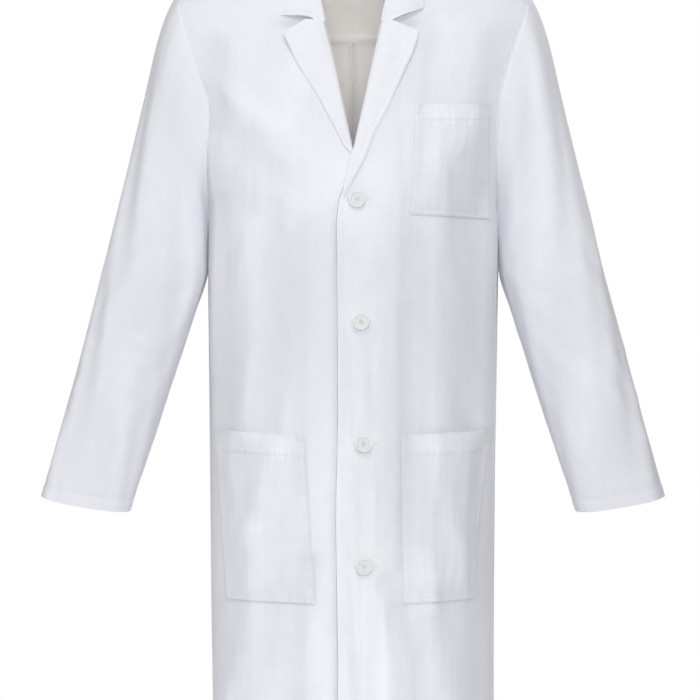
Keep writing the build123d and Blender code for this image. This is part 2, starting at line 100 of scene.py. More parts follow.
# Underarm point, outer point and half depth of the sleeve's sections.
SLEEVE = [
    ((172.0, -283.0), (208.0, -28.0), 62.0), ((178.0, -288.5), (228.0, -56.0), 66.0),
    ((181.5, -292.5), (242.0, -98.0), 68.0), ((180.0, -303.0), (258.0, -170.0), 66.0),
    ((179.5, -330.0), (277.0, -250.0), 62.0), ((181.5, -387.0), (303.0, -355.5), 58.0),
    ((229.0, -534.0), (341.0, -503.0), 50.0), ((274.5, -673.5), (384.0, -655.0), 38.0),
]
HIP_TOP, HIP_BOTTOM = -580.0, -786.0
BREAST_TOP, BREAST_BOTTOM = -175.0, -310.0
LAYER = 0.9  # thickness of one layer of cloth
HEM_WIDTH, HEM_STITCH = 24.0, 23.0  # the turned hem and its stitching, above the coat's edge
CUFF_WIDTH, CUFF_STITCH = 16.0, 15.0
EDGE_STITCH = 6.5  # topstitching, inside the lapels' and the collar's edges
PANEL_COLS = 96
ROW_STEP, SHOULDER_ROW_STEP = 3.4, 1.3
TO_FRONT = np.array([0.0, -1.0, 0.0])


def bell(distance, width):
    return np.exp(-(distance / width) ** 2)


def smoothstep(x):
    x = np.clip(x, 0.0, 1.0)
    return x * x * (3 - 2 * x)


def quarter_round(x):
    """Rises from 0 to 1 as a quarter of a circle does."""
    return np.sqrt(np.clip(1 - (1 - np.clip(x, 0, 1)) ** 2, 0, 1))


def soft_clip(values, low, high):
    """Keeps values between two limits without a kink at either."""
    middle, reach = (low + high) / 2, (high - low) / 2
    return middle + reach * np.tanh((values - middle) / reach)


def across_rows(column, cols):
    return np.repeat(column[:, None], cols, axis=1)


def between(first, last, share):
    """Rows of points running from one line to another."""
    return first[:, None] * (1 - share)[None, :, None] + last[:, None] * share[None, :, None]


def arc_of(points):
    step = np.linalg.norm(np.diff(points, axis=0), axis=1)
    return np.concatenate([[0], np.cumsum(step)])


def at_places(places, arc, points):
    return np.stack([np.interp(places, arc, points[:, i]) for i in range(points.shape[1])], axis=1)


def gaussian_smooth(values, sigma):
    reach = int(3 * sigma)
    kernel = np.exp(-0.5 * (np.arange(-reach, reach + 1) / sigma) ** 2)
    kernel /= kernel.sum()
    values = np.asarray(values, float)
    head = 2 * values[:1] - values[reach:0:-1]
    tail = 2 * values[-1:] - values[-2:-reach - 2:-1]
    padded = np.concatenate([head, values, tail])
    if values.ndim == 1:
        return np.convolve(padded, kernel, mode="valid")
    columns = [np.convolve(column, kernel, mode="valid") for column in padded.T]
    return np.stack(columns, axis=1)


def resample(points, count, sigma=0.0):
    points = np.asarray(points, float)
    arc = arc_of(points)
    line = at_places(np.linspace(0, arc[-1], count), arc, points)
    return gaussian_smooth(line, sigma) if sigma else line


Z_TABLE = np.arange(-1060.0, 0.5, 1.0)
NEAR_TOP = np.clip((Z_TABLE + 58) / 18, 0, 1)


def level_table(column):
    """A half size of the torso for every millimetre of height, smoothed less on the shoulders."""
    raw = np.interp(Z_TABLE, LEVELS[:, 0], LEVELS[:, column])
    return gaussian_smooth(raw, 14) * (1 - NEAR_TOP) + gaussian_smooth(raw, 3) * NEAR_TOP


W_TABLE, D_TABLE = level_table(1), level_table(2)


def half(z):
    return np.interp(z, Z_TABLE, W_TABLE), np.interp(z, Z_TABLE, D_TABLE)


def curve_x(points):
    """x as a function of z along a line of points."""
    pts = sorted(points, key=lambda p: p[1])
    zs, xs = np.array([p[1] for p in pts]), np.array([p[0] for p in pts])
    return lambda z: np.interp(z, zs, xs)


left_edge_x = curve_x(ROLL + LEFT_EDGE)
right_edge_x = curve_x([(-x, z) for x, z in ROLL] + RIGHT_EDGE)
ARMHOLE_Z = np.arange(-430, -19, 2.0)
ARMHOLE_X = gaussian_smooth(curve_x(ARMHOLE)(ARMHOLE_Z), 5)


def x_armhole(z):
    return np.interp(z, ARMHOLE_Z, ARMHOLE_X)


# ------------------------------------------------------------------ folds of the torso
def waves(seed, scale_a, scale_b, count=36):
    """A smooth random field with correlation lengths scale_a and scale_b, of unit size."""
    rng = np.random.default_rng(SEED + seed)
    ka, kb = rng.normal(0, 1 / scale_a, count), rng.normal(0, 1 / scale_b, count)
    phase = rng.uniform(0, 2 * math.pi, count)

    def field(a, b):
        total = np.zeros(np.broadcast(a, b).shape)
        for i in range(count):
            total += np.cos(ka[i] * a + kb[i] * b + phase[i])
        return total * math.sqrt(2 / count)

    return field


def ridge(a, b, points, width, height):
    """A soft fold along a line of points in the (a, b) plane."""
    best = np.full(np.broadcast(a, b).shape, 1e9)
    for (a0, b0), (a1, b1) in zip(points, points[1:]):
        da, db = a1 - a0, b1 - b0
        t = np.clip(((a - a0) * da + (b - b0) * db) / (da * da + db * db), 0, 1)
        best = np.minimum(best, (a - a0 - t * da) ** 2 + (b - b0 - t * db) ** 2)
    return height * np.exp(-best / width ** 2)


long_front = waves(1, 24, 130)
mid_front = waves(2, 11, 48)
small_front = waves(3, 5, 9)
fine_front = waves(7, 3.2, 26)
long_back = waves(4, 20, 170)
mid_back = waves(5, 10, 70)

BUTTONS = []  # x and z of each button's middle
for number in range(1, 5):
    low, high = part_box(f"button_{number}")
    BUTTONS.append(((low.x + high.x) / 2 / MM, (low.z + high.z) / 2 / MM))

# Points (x, z) along each fold, its width and its height; valleys are negative.
FRONT_RIDGES = [
    ([(-178, -170), (-150, -215), (-75, -268)], 21, -3.0),
    ([(-205, -130), (-150, -165), (-90, -205)], 15, 1.6),
    ([(-172, -110), (-176, -200)], 20, -3.2),
    ([(-60, -110), (-75, -240), (-62, -380)], 14, 1.8),
    ([(-168, -300), (-160, -450), (-164, -575)], 16, -3.0),
    ([(-130, -330), (-122, -450), (-130, -575)], 15, 2.6),
    ([(-96, -300), (-88, -430), (-100, -570)], 13, -1.8),
    ([(-60, -330), (-58, -470), (-66, -640)], 14, -1.2),
    ([(-172, -600), (-178, -760), (-170, -1040)], 15, -3.2),
    ([(-122, -700), (-118, -860), (-124, -1040)], 15, 2.8),
    ([(-52, -740), (-74, -860), (-70, -1040)], 15, -4.2),
    ([(-16, -640), (-14, -820), (-12, -1040)], 11, 2.2),
    ([(186, -90), (176, -170), (156, -280)], 24, -4.0),
    ([(96, -60), (92, -160), (84, -270)], 11, -1.8),
    ([(140, -250), (146, -400), (142, -560)], 19, -5.2),
    ([(106, -330), (104, -450), (108, -570)], 16, 2.4),
    ([(66, -430), (68, -500), (64, -600), (58, -740)], 10, -3.0),
    ([(48, -800), (56, -880), (54, -1040)], 11, -3.4),
    ([(20, -470), (26, -560), (24, -640)], 6, -1.4),
    ([(100, -600), (92, -720), (96, -790)], 13, 2.4),
    ([(44, -760), (80, -850), (86, -1040)], 14, -5.4),
    ([(118, -790), (120, -900), (118, -1040)], 26, -3.4),
    ([(166, -600), (162, -780), (158, -1040)], 22, -7.0),
    ([(30, -780), (40, -900), (30, -1040)], 12, 1.6),
]
BACK_RIDGES = [
    ([(-150, -300), (-120, -520), (-128, -800), (-118, -1040)], 20, 3.0),
    ([(-70, -260), (-60, -500), (-72, -800), (-64, -1040)], 20, -2.6),
    ([(150, -300), (118, -520), (124, -800), (120, -1040)], 20, 2.8),
    ([(70, -260), (64, -500), (70, -800), (62, -1040)], 20, -2.8),
]


def below_shoulder(z):
    """The folds die away towards the shoulder seams."""
    return smoothstep((-z - 30) / 70)


def front_folds(x, z):
    """How far the folds lift the front, all layers alike."""
    across = np.abs(x) / half(z)[0]
    keep = 1 - 0.72 * smoothstep((across - 0.86) / 0.14)
    placket = 1 - 0.72 * bell(x - 8, 34.0)
    growth = 0.35 + 0.65 * smoothstep((-z - 120) / 240)
    lean = x + 0.22 * z * np.tanh((x - 8) / 45.0)
    total = 2.5 * long_front(lean, z) * growth * placket + 0.62 * mid_front(lean, z) * growth
    for points, width, height in FRONT_RIDGES:
        total = total + 1.25 * ridge(x, z, points, width, height)
    total = total + 0.10 * small_front(x, z) + 0.20 * fine_front(x, z) * growth
    total = total * keep
    total = total + 3.5 * bell(z + 262, 75.0) * smoothstep(1.4 - 1.5 * across)
    total = total - 2.5 * bell(z + 450, 130.0) * smoothstep(1.4 - 1.5 * across)
    for bx, bz in BUTTONS:
        total = total * (1 - np.exp(-(((x - bx) / 24.0) ** 2 + ((z - bz) / 20.0) ** 2)))
    return soft_clip(total, -8.0, 8.0) * below_shoulder(z)


def back_folds(x, z):
    across = np.abs(x) / half(z)[0]
    keep = 1 - 0.8 * smoothstep((across - 0.7) / 0.3)
    growth = 0.25 + 0.75 * smoothstep((-z - 110) / 300)
    total = 2.4 * long_back(x, z) * growth + 0.6 * mid_back(x, z) * growth
    for points, width, height in BACK_RIDGES:
        total = total + ridge(x, z, points, width, height)
    return soft_clip(total * keep, -8.5, 8.5) * below_shoulder(z)


def folds(theta, x, z):
    return np.where(np.cos(theta) < 0, back_folds(x, z), front_folds(x, z))


def fold_shade(lift):
    """Valleys between folds catch less light than their crests."""
    return np.clip(1 + 0.0145 * lift, 0.85, 1.06)


# ------------------------------------------------------------------ points on the coat's skin
def theta_of_x(x, z):
    """The angle round the torso, from the middle of the front, at which its skin has this x."""
    return np.arcsin(np.clip(np.sign(x) * np.abs(x / half(z)[0]) ** (SQUARE / 2), -1, 1))


def on_torso(theta, z, out, folded=True):
    """A point of the coat's skin, moved out by out, folds included."""
    w, d = half(z)
    s, c = np.sin(theta), np.cos(theta)
    k = 2 / SQUARE
    ux, uy = np.sign(s) * np.abs(s) ** k, -np.sign(c) * np.abs(c) ** k
    x0 = w * ux
    lift = out + (folds(theta, x0, z) if folded else 0.0)
    roof = np.clip((z - SHOULDER_Z) / 20, 0, 1)
    return np.stack([x0 + lift * ux, d * uy + lift * uy, z + lift * roof], axis=-1)


def front_point(x, z, out):
    return on_torso(theta_of_x(x, z), z, out)


def back_point(side, x, z, out):
    return on_torso(side * (math.pi - theta_of_x(x, z)), z, out)


def front_rise(side, x):
    """How far a front panel lies out from the coat's form, over its facing."""
    if side > 0:
        over_facing = LEFT_RISE * (1 - smoothstep((x - 36) / 44))
        return over_facing + 0.5 * (1 - smoothstep((x - 55) / 3))
    return 0.5 * (1 - smoothstep((x - 57) / 3))


def side_theta(z):
    d = half(z)[1]
    seam = np.arccos(np.clip(-SIDE_SEAM_Y / d, 0, 1) ** (SQUARE / 2))
    return np.where(z < -60, seam, math.pi / 2)


def rows_z(bottom, top):
    """Heights of the rows, closer together on the shoulders."""
    low = np.arange(bottom, min(top, SHOULDER_Z), ROW_STEP)
    if top <= SHOULDER_Z:
        return np.append(low, top)
    return np.concatenate([low, np.arange(SHOULDER_Z, top, SHOULDER_ROW_STEP), [top]])


def theta_grid(z, theta_from, theta_to):
    """Angles evenly spaced along the girth between two limits, for each height."""
    grid = np.zeros((len(z), PANEL_COLS))
    share = np.linspace(0, 1, PANEL_COLS)
    for i, level in enumerate(z):
        fine = np.linspace(theta_from[i], theta_to[i], 220)
        p = on_torso(fine, np.full(fine.shape, level), 0.0, folded=False)
        arc = arc_of(p[:, :2])
        grid[i] = np.interp(share * arc[-1], arc, fine)
    return grid


def girth_uv(points, z):
    """Cloth coordinates in metres: along each row, and down the rows."""
    step = np.linalg.norm(np.diff(points, axis=1), axis=2)
    u = np.concatenate([np.zeros((len(points), 1)), np.cumsum(step, axis=1)], axis=1)
    return np.stack([u * MM, across_rows(z, points.shape[1]) * MM], axis=-1)


def level_outward(points):
    """Unit vectors from the coat's axis to the points, level."""
    ref = points * np.array([1.0, 1.0, 0.0])
    return ref / np.maximum(np.linalg.norm(ref, axis=-1, keepdims=True), 1e-6)


def outward(points):
    return level_outward(points) + np.array([0, 0, 0.2])


def skin_normals(points):
    """Rough outward directions for stitches on the torso."""
    ref = points * np.array([0.35, 1.0, 0.0])
    return ref / np.maximum(np.linalg.norm(ref, axis=1, keepdims=True), 1e-6)


def facing_front(count):
    return np.tile(TO_FRONT, (count, 1))


# ------------------------------------------------------------------ meshes
def quads(a, b, c, d):
    return np.stack([a, b, c, d], axis=-1).reshape(-1, 4)


class Build:
    """Collects grids and threads into one mesh."""

    def __init__(self):
        self.verts, self.faces, self.uvs, self.mats, self.shades = [], [], [], [], []
        self.count = 0

    def add(self, verts, shades, *blocks):
        """Vertices with their shades, and blocks of faces, material slot and face corners' uv."""
        self.verts.append(verts)
        self.shades.append(shades)
        for faces, slot, corners in blocks:
            self.faces.extend((faces + self.count).tolist())
            self.mats.append(np.full(len(faces), slot, int))
            self.uvs.append(corners.reshape(-1, 2))
        self.count += len(verts)

    def shell(self, outer, thickness, uv, ref, closed=False, inner_mat=0, shade=1.0,
              inner_shade=1.0):
        """A sheet with real thickness: outer is its outside face, ref points outwards."""
        rows, cols = outer.shape[:2]
        index = np.arange(rows * cols).reshape(rows, cols)
        shift = rows * cols
        if closed:
            wrapped = np.concatenate([outer[:, -1:], outer, outer[:, :1]], axis=1)
            du = np.gradient(wrapped, axis=1)[:, 1:-1]
            right = np.roll(index, -1, axis=1)
            top = quads(index[:-1], right[:-1], right[1:], index[1:])
            last = uv[:, -1:] + (uv[:, -1:] - uv[:, -2:-1])
            uv_next = np.concatenate([uv[:, 1:], last], axis=1)
            corner = [uv[:-1], uv_next[:-1], uv_next[1:], uv[1:]]
        else:
            du = np.gradient(outer, axis=1)
            top = quads(index[:-1, :-1], index[:-1, 1:], index[1:, 1:], index[1:, :-1])
            corner = [uv[:-1, :-1], uv[:-1, 1:], uv[1:, 1:], uv[1:, :-1]]
        corner = np.stack(corner, axis=2).reshape(-1, 4, 2)
        normal = np.cross(du, np.gradient(outer, axis=0))
        normal = normal / np.maximum(np.linalg.norm(normal, axis=-1, keepdims=True), 1e-9)
        outwards = np.sign((normal * ref).sum(-1).mean()) > 0
        if not outwards:
            normal = -normal
        inner = outer - normal * np.asarray(thickness)[..., None]
        turned, turned_corner = top[:, ::-1], corner[:, ::-1]
        if outwards:
            faces = [(top, 0, corner), (turned + shift, inner_mat, turned_corner)]
        else:
            faces = [(turned, 0, turned_corner), (top + shift, inner_mat, corner)]
        rims = [index[0], index[-1][::-1]]
        if not closed:
            rims += [index[::-1, 0], index[:, -1]]
        rim_faces = []
        for line in rims:
            p, q = (line, np.roll(line, -1)) if closed else (line[:-1], line[1:])
            quad = quads(p, p + shift, q + shift, q)
            rim_faces.append(quad if outwards else quad[:, ::-1])
        rim_faces = np.concatenate(rim_faces)
        faces.append((rim_faces, 0, uv.reshape(-1, 2)[rim_faces % shift]))
        shades = [np.broadcast_to(tone, (rows, cols)).ravel() for tone in (shade, inner_shade)]
        verts = np.concatenate([outer.reshape(-1, 3), inner.reshape(-1, 3)])
        self.add(verts, np.concatenate(shades), *faces)

    def stitches(self, points, normals, pitch=3.2, length=2.4, radius=0.3, sides=5):
        """A row of machine stitches along a line on the cloth."""
        arc = arc_of(points)
        places = np.arange(pitch / 2, arc[-1], pitch)
        if len(places) == 0:
            return
        at = at_places(places, arc, points)
        ahead = at_places(np.minimum(places + 0.8, arc[-1]), arc, points)
        behind = at_places(np.maximum(places - 0.8, 0), arc, points)
        tangent = ahead - behind
        tangent /= np.maximum(np.linalg.norm(tangent, axis=1, keepdims=True), 1e-9)
        normal = at_places(places, arc, normals)
        normal -= (normal * tangent).sum(1, keepdims=True) * tangent
        normal /= np.maximum(np.linalg.norm(normal, axis=1, keepdims=True), 1e-9)
        side = np.cross(tangent, normal)
        # Place along the stitch, size and rise of each ring of its thread.
        rings = [(-0.5, 0.25, -0.35), (-0.3, 0.9, 0.1), (0.3, 0.9, 0.1), (0.5, 0.25, -0.35)]
        template = []
        for along, size, rise in rings:
            for k in range(sides):
                angle = 2 * math.pi * k / sides
                up = radius * (size * math.sin(angle) + rise)
                template.append((along * length, up, radius * size * math.cos(angle)))
        template = np.array(template)
        verts = (at[:, None] + template[None, :, :1] * tangent[:, None]
                 + template[None, :, 1:2] * normal[:, None] + template[None, :, 2:] * side[:, None])
        ring = np.arange(len(template)).reshape(len(rings), sides)
        ahead_k = np.roll(ring, -1, axis=1)
        faces = quads(ring[:-1], ahead_k[:-1], ahead_k[1:], ring[1:])
        offsets = (np.arange(len(at)) * len(template))[:, None, None]
        faces = (faces[None] + offsets).reshape(-1, 4)
        corners = np.array([[0, 0], [1, 0], [1, 1], [0, 1]], float) * 0.001
        verts = verts.reshape(-1, 3)
        self.add(verts, np.ones(len(verts)), (faces, 0, np.tile(corners, (len(faces), 1))))

    def finish(self, name, *materials):
        mesh = bpy.data.meshes.new(name)
        mesh.from_pydata((np.concatenate(self.verts) * MM).tolist(), [], self.faces)
        layer = mesh.uv_layers.new(name="UVMap")
        layer.data.foreach_set("uv", np.concatenate(self.uvs).astype(np.float32).ravel())
        for material in materials:
            mesh.materials.append(material)
        slots = np.concatenate(self.mats).astype(np.int32)
        mesh.polygons.foreach_set("material_index", slots)
        mesh.polygons.foreach_set("use_smooth", np.ones(len(mesh.polygons), bool))
        tone = mesh.attributes.new("shade", "FLOAT", "POINT")
        tone.data.foreach_set("value", np.concatenate(self.shades).astype(np.float32))
        mesh.validate(clean_customdata=False)
        mesh.update()
        mesh.set_sharp_from_angle(angle=math.radians(50))
        obj = bpy.data.objects.new(name, mesh)
        bpy.context.scene.collection.objects.link(obj)
        return obj


# ------------------------------------------------------------------ materials
def new_material(name):
    material = bpy.data.materials.new(name)
    material.use_nodes = True
    return material, material.node_tree, material.node_tree.nodes["Principled BSDF"]


def add_node(tree, kind, values=None, links=None, **settings):
    """A shader node with its settings, its constant inputs and what feeds its other inputs."""
    node = tree.nodes.new("ShaderNode" + kind)
    for key, value in settings.items():
        setattr(node, key, value)
    for key, value in (values or {}).items():
        node.inputs[key].default_value = value
    for key, source in (links or {}).items():
        tree.links.new(source, node.inputs[key])
    return node


def ramp(tree, source, dark, light, low=0.0, high=1.0):
    node = add_node(tree, "ValToRGB", links={"Fac": source})
    for element, place, colour in zip(node.color_ramp.elements, (low, high), (dark, light)):
        element.position = place
        element.color = (*colour, 1)
    return node.outputs["Color"]


def map_range(tree, source, **limits):
    values = {key.replace("_", " ").title(): value for key, value in limits.items()}
    return add_node(tree, "MapRange", values, {"Value": source}).outputs["Result"]


def scaled(tree, colour, factor):
    links = {0: colour, "Scale": factor}
    return add_node(tree, "VectorMath", links=links, operation="SCALE").outputs["Vector"]


def bump(tree, height, strength, distance, over=None):
    links = {"Height": height}
    if over is not None:
        links["Normal"] = over
    values = {"Strength": strength, "Distance": distance}
    return add_node(tree, "Bump", values, links).outputs["Normal"]


def cloth_material(name, light, dark, weave=0.5):
    """Plain-woven cotton: threads both ways, uneven yarn, faint mottling, a soft nap."""
    material, tree, shader = new_material(name)
    uv = add_node(tree, "UVMap", uv_map="UVMap").outputs["UV"]
    threads = {}
    for socket, (direction, distortion) in enumerate((("X", 1.6), ("Y", 1.95))):
        values = {"Scale": 620.0, "Distortion": distortion, "Detail": 2.0, "Detail Scale": 1.4}
        wave = add_node(tree, "TexWave", values, {"Vector": uv}, bands_direction=direction)
        threads[socket] = wave.outputs["Fac"]
    weave_height = add_node(tree, "Math", links=threads, operation="MAXIMUM").outputs[0]
    stretch = add_node(tree, "Mapping", {"Scale": (520.0, 34.0, 1.0)}, {"Vector": uv})
    slub = add_node(tree, "TexNoise", {"Scale": 1.0, "Detail": 4.0},
                    {"Vector": stretch.outputs["Vector"]}).outputs["Fac"]
    mottle = add_node(tree, "TexNoise", {"Scale": 45.0, "Detail": 5.0, "Roughness": 0.6},
                      {"Vector": uv}).outputs["Fac"]
    share = add_node(tree, "Math", {1: 0.45}, {0: slub}, operation="MULTIPLY").outputs[0]
    tint = add_node(tree, "Math", {1: 0.55}, {0: mottle, 2: share}, operation="MULTIPLY_ADD")
    # The base colour is scaled by the shade attribute, which holds painted shade of folds and
    # creases, and the brighter doubled cloth.
    tone = add_node(tree, "Attribute", attribute_name="shade").outputs["Fac"]
    colour = ramp(tree, tint.outputs[0], dark, light, 0.30, 0.68)
    tree.links.new(scaled(tree, colour, tone), shader.inputs["Base Color"])
    normal = bump(tree, weave_height, weave, 0.00012)
    normal = bump(tree, slub, 0.35, 0.0003, normal)
    normal = bump(tree, mottle, 0.16, 0.0022, normal)
    tree.links.new(normal, shader.inputs["Normal"])
    rough = map_range(tree, slub, to_min=0.80, to_max=0.92)
    tree.links.new(rough, shader.inputs["Roughness"])
    shader.inputs["Sheen Weight"].default_value = 0.25
    shader.inputs["Sheen Roughness"].default_value = 0.5
    shader.inputs["Specular IOR Level"].default_value = 0.25
    return material


def thread_material(name, light, dark):
    material, tree, shader = new_material(name)
    coord = add_node(tree, "TexCoord").outputs["Object"]
    twist = add_node(tree, "TexWave", {"Scale": 700.0, "Distortion": 1.0}, {"Vector": coord},
                     bands_direction="DIAGONAL").outputs["Fac"]
    tree.links.new(ramp(tree, twist, dark, light), shader.inputs["Base Color"])
    tree.links.new(bump(tree, twist, 0.6, 0.0001), shader.inputs["Normal"])
    shader.inputs["Roughness"].default_value = 0.5
    shader.inputs["Sheen Weight"].default_value = 0.2
    return material


def button_material(name, light, dark):
    """Pale moulded plastic with a faint cloud, painted shade in its hollows and fine handling
    marks.
    """
    material, tree, shader = new_material(name)
    coord = add_node(tree, "TexCoord").outputs["Object"]
    cloud = add_node(tree, "TexNoise", {"Scale": 240.0, "Detail": 3.0},
                     {"Vector": coord}).outputs["Fac"]
    hollow = add_node(tree, "AmbientOcclusion", {"Distance": 0.004}, samples=12).outputs["AO"]
    # Ambient occlusion darkens the colour in the dish and the holes: painted shade.
    hollow_shade = map_range(tree, hollow, from_min=0.35, from_max=0.95, to_min=0.68, to_max=1.0)
    colour = ramp(tree, cloud, dark, light, 0.3, 0.7)
    tree.links.new(scaled(tree, colour, hollow_shade), shader.inputs["Base Color"])
    scratch = add_node(tree, "TexNoise", {"Scale": 1500.0, "Detail": 2.0},
                       {"Vector": coord}).outputs["Fac"]
    marks = map_range(tree, scratch, to_min=0.46, to_max=0.60)
    tree.links.new(marks, shader.inputs["Roughness"])
    tree.links.new(bump(tree, cloud, 0.15, 0.0001), shader.inputs["Normal"])
    shader.inputs["Specular IOR Level"].default_value = 0.3
    return material


CLOTH = cloth_material("white_cotton", (0.850, 0.860, 0.908), (0.805, 0.816, 0.872))
REVERSE = cloth_material("white_cotton_reverse", (0.88, 0.86, 0.83), (0.82, 0.80, 0.77))
THREAD = thread_material("sewing_thread", (0.86, 0.87, 0.90), (0.70, 0.72, 0.77))
HOLE_THREAD = thread_material("buttonhole_thread", (0.86, 0.87, 0.90), (0.74, 0.76, 0.80))
TAPE = cloth_material("white_tape", (0.82, 0.83, 0.85), (0.76, 0.775, 0.80), weave=0.8)
FELT = cloth_material("white_interfacing", (0.80, 0.80, 0.80), (0.74, 0.74, 0.74), weave=0.2)
PLASTIC = button_material("pale_plastic", (0.83, 0.855, 0.85), (0.76, 0.795, 0.785))


# ------------------------------------------------------------------ fronts
def hem_relief(z):
    """The turned hem is a little proud and pulls in at its stitching."""
    above = z - HEM_Z
    return 0.7 * smoothstep((HEM_WIDTH - above) / 3) - 0.5 * bell(above - HEM_STITCH, 2.2)


def hem_thickness(z):
    return LAYER + LAYER * smoothstep((HEM_WIDTH - (z - HEM_Z)) / 2)


def armhole_theta(z):
    x = x_armhole(z)
    return np.where(x < half(z)[0], theta_of_x(x, z), math.pi / 2)


def front_edge_x(side, z):
    return left_edge_x(z) if side > 0 else -right_edge_x(z)


def front_panel(name, side):
    z = rows_z(HEM_Z, -1.0)
    edge = front_edge_x(side, z) + np.where(z > BREAK_Z, 2.4, 1.0)
    end = np.minimum(armhole_theta(z), side_theta(z))
    theta = theta_grid(z, theta_of_x(edge, z), end)
    zz = across_rows(z, PANEL_COLS)
    x = on_torso(theta, zz, 0.0, folded=False)[..., 0]
    edge_gap = x - edge[:, None]
    base = front_rise(side, x)
    if side > 0:
        # The lapped edge is stitched, and stands off between the buttons.
        base = base - 0.45 * bell(edge_gap - 7.5, 1.6) * (zz < -290)
        free = np.clip(1.0 - sum(bell(zz - bz, 34.0) for _, bz in BUTTONS), 0, 1)
        base = base + 2.4 * free * np.exp(-edge_gap / 13.0) * smoothstep((-zz - 296) / 20)
    base = base - 0.8 * bell(edge_gap, 1.2)
    seam_gap = np.abs(theta - end[:, None]) * np.hypot(*half(zz)) * 0.7
    base = base - 0.35 * bell(seam_gap, 3.0)
    base = base + hem_relief(zz)
    points = on_torso(theta * side, zz, base)
    # Doubled cloth looks brighter; painted shade under the notch, painted shadow beside the lapped
    # edge.
    plies = 1 + 0.045 * (1 - smoothstep((x - 50) / 12)) * smoothstep((-zz - 200) / 90)
    plies = plies + 0.02 * smoothstep((HEM_WIDTH - (zz - HEM_Z)) / 3)
    notch_shade_x, notch_shade_z = (67.0, -75.5) if side > 0 else (76.0, -76.0)
    notch = np.exp(-(((x - notch_shade_x) / 15.0) ** 2 + ((zz - notch_shade_z) / 8.0) ** 2))
    shade = fold_shade(folds(theta * side, side * x, zz)) * plies * (1 - 0.16 * notch)
    if side < 0:
        # Painted shadow of the left front's edge on the right front.
        from_lap = left_edge_x(zz) + x
        shade = shade * (1 - 0.11 * bell(from_lap, 6.0) * smoothstep((-zz - 270) / 60))
    build = Build()
    build.shell(points, hem_thickness(zz), girth_uv(points, z), outward(points), shade=shade)
    return build.finish(name, CLOTH)


left_front = front_panel("left_front_cloth", 1)
right_front = front_panel("right_front_cloth", -1)


# ------------------------------------------------------------------ backs and yoke
YOKE_STRIP, CENTRE_STRIP = 5.5, 6.5  # half widths of the seams' turnings inside
TURNINGS = 1.3  # how much thicker the cloth is there
SEAM_DIP = 0.8


def back_limits(z):
    seam = side_theta(z)
    return seam + (math.pi - armhole_theta(z) - seam) * smoothstep((z + 284) / 40)


def back_grid(bottom, top):
    z = rows_z(bottom, top)
    theta = theta_grid(z, np.full(z.shape, math.pi), back_limits(z))
    return z, theta, across_rows(z, PANEL_COLS)


def back_panel(side):
    z, theta, zz = back_grid(HEM_Z, YOKE_Z)
    x = on_torso(theta, zz, 0.0, folded=False)[..., 0]
    yoke_dip, centre_dip = SEAM_DIP * bell(zz - YOKE_Z, 1.6), SEAM_DIP * bell(x, 1.5)
    points = on_torso(theta * side, zz, hem_relief(zz) - yoke_dip - centre_dip)
    from_yoke, from_centre = YOKE_STRIP - np.abs(zz - YOKE_Z), CENTRE_STRIP - x
    thickness = hem_thickness(zz) + TURNINGS * smoothstep(from_yoke / 0.8) - yoke_dip
    thickness = thickness + TURNINGS * smoothstep(from_centre / 0.8) - centre_dip
    # Inside, the doubled turnings get painted shade, as less light comes through two layers.
    doubled = np.maximum(smoothstep(from_yoke / 1.5), smoothstep(from_centre / 1.5))
    build = Build()
    build.shell(points, thickness, girth_uv(points, z), outward(points), inner_mat=1,
                shade=fold_shade(folds(theta * side, side * x, zz)),
                inner_shade=1 - 0.10 * doubled)
    return build


back_left = back_panel(1).finish("back_left_cloth", CLOTH, REVERSE)
back_right_build = back_panel(-1)

# The vent's underlap, behind the left back.
lap_z = rows_z(HEM_Z, VENT_TOP)
lap_x = np.linspace(-4.0, 40.0, 24)[None, :]
lap_out = -2.2 + 1.9 * smoothstep(-lap_x / 4.0)
lap_points = back_point(1, lap_x, across_rows(lap_z, 24), lap_out)
back_right_build.shell(lap_points, LAYER, girth_uv(lap_points, lap_z), outward(lap_points),
                       inner_mat=1)
back_right = back_right_build.finish("back_right_cloth", CLOTH, REVERSE)

yoke_build = Build()
for side in (1, -1):
    z, theta, zz = back_grid(YOKE_Z, -1.0)
    base = -SEAM_DIP * bell(zz - YOKE_Z, 1.6)
    points = on_torso(theta * side, zz, base)
    near_seam = smoothstep((YOKE_STRIP - np.abs(zz - YOKE_Z)) / 0.8)
    # Inside, painted shade on the doubled turnings along the seam.
    yoke_build.shell(points, LAYER + TURNINGS * near_seam + base,
                     girth_uv(points, z) * np.array([side, 1.0]), outward(points), inner_mat=1,
                     inner_shade=1 - 0.10 * near_seam)
back_yoke = yoke_build.finish("back_yoke_cloth", CLOTH, REVERSE)


# ------------------------------------------------------------------ facings and lapels
LAPEL_HEIGHT = 166.0


def facing_strip(build, side, mid, strip_out):
    """The facing from the hem to the gorge, behind the front."""
    free_edge = FACING_EDGE_X if side > 0 else FACING_EDGE_X - 16.0
    z = rows_z(HEM_Z + 4, -72.0)
    share = np.linspace(0, 1, 34) ** 1.3
    x0 = front_edge_x(side, z)
    top_narrow = smoothstep((z + 130) / 60)
    above = np.maximum(x0 + 18, free_edge * (1 - top_narrow) + FACING_EDGE_X * top_narrow)
    x1 = np.where(z < BREAK_Z, free_edge, above)
    x = x0[:, None] + (x1 - x0)[:, None] * share[None, :]
    out = mid + (strip_out - mid) * quarter_round((x - x0[:, None]) / 2.6)
    points = front_point(side * x, across_rows(z, 34), out)
    build.shell(points, LAYER, girth_uv(points, z), outward(points))


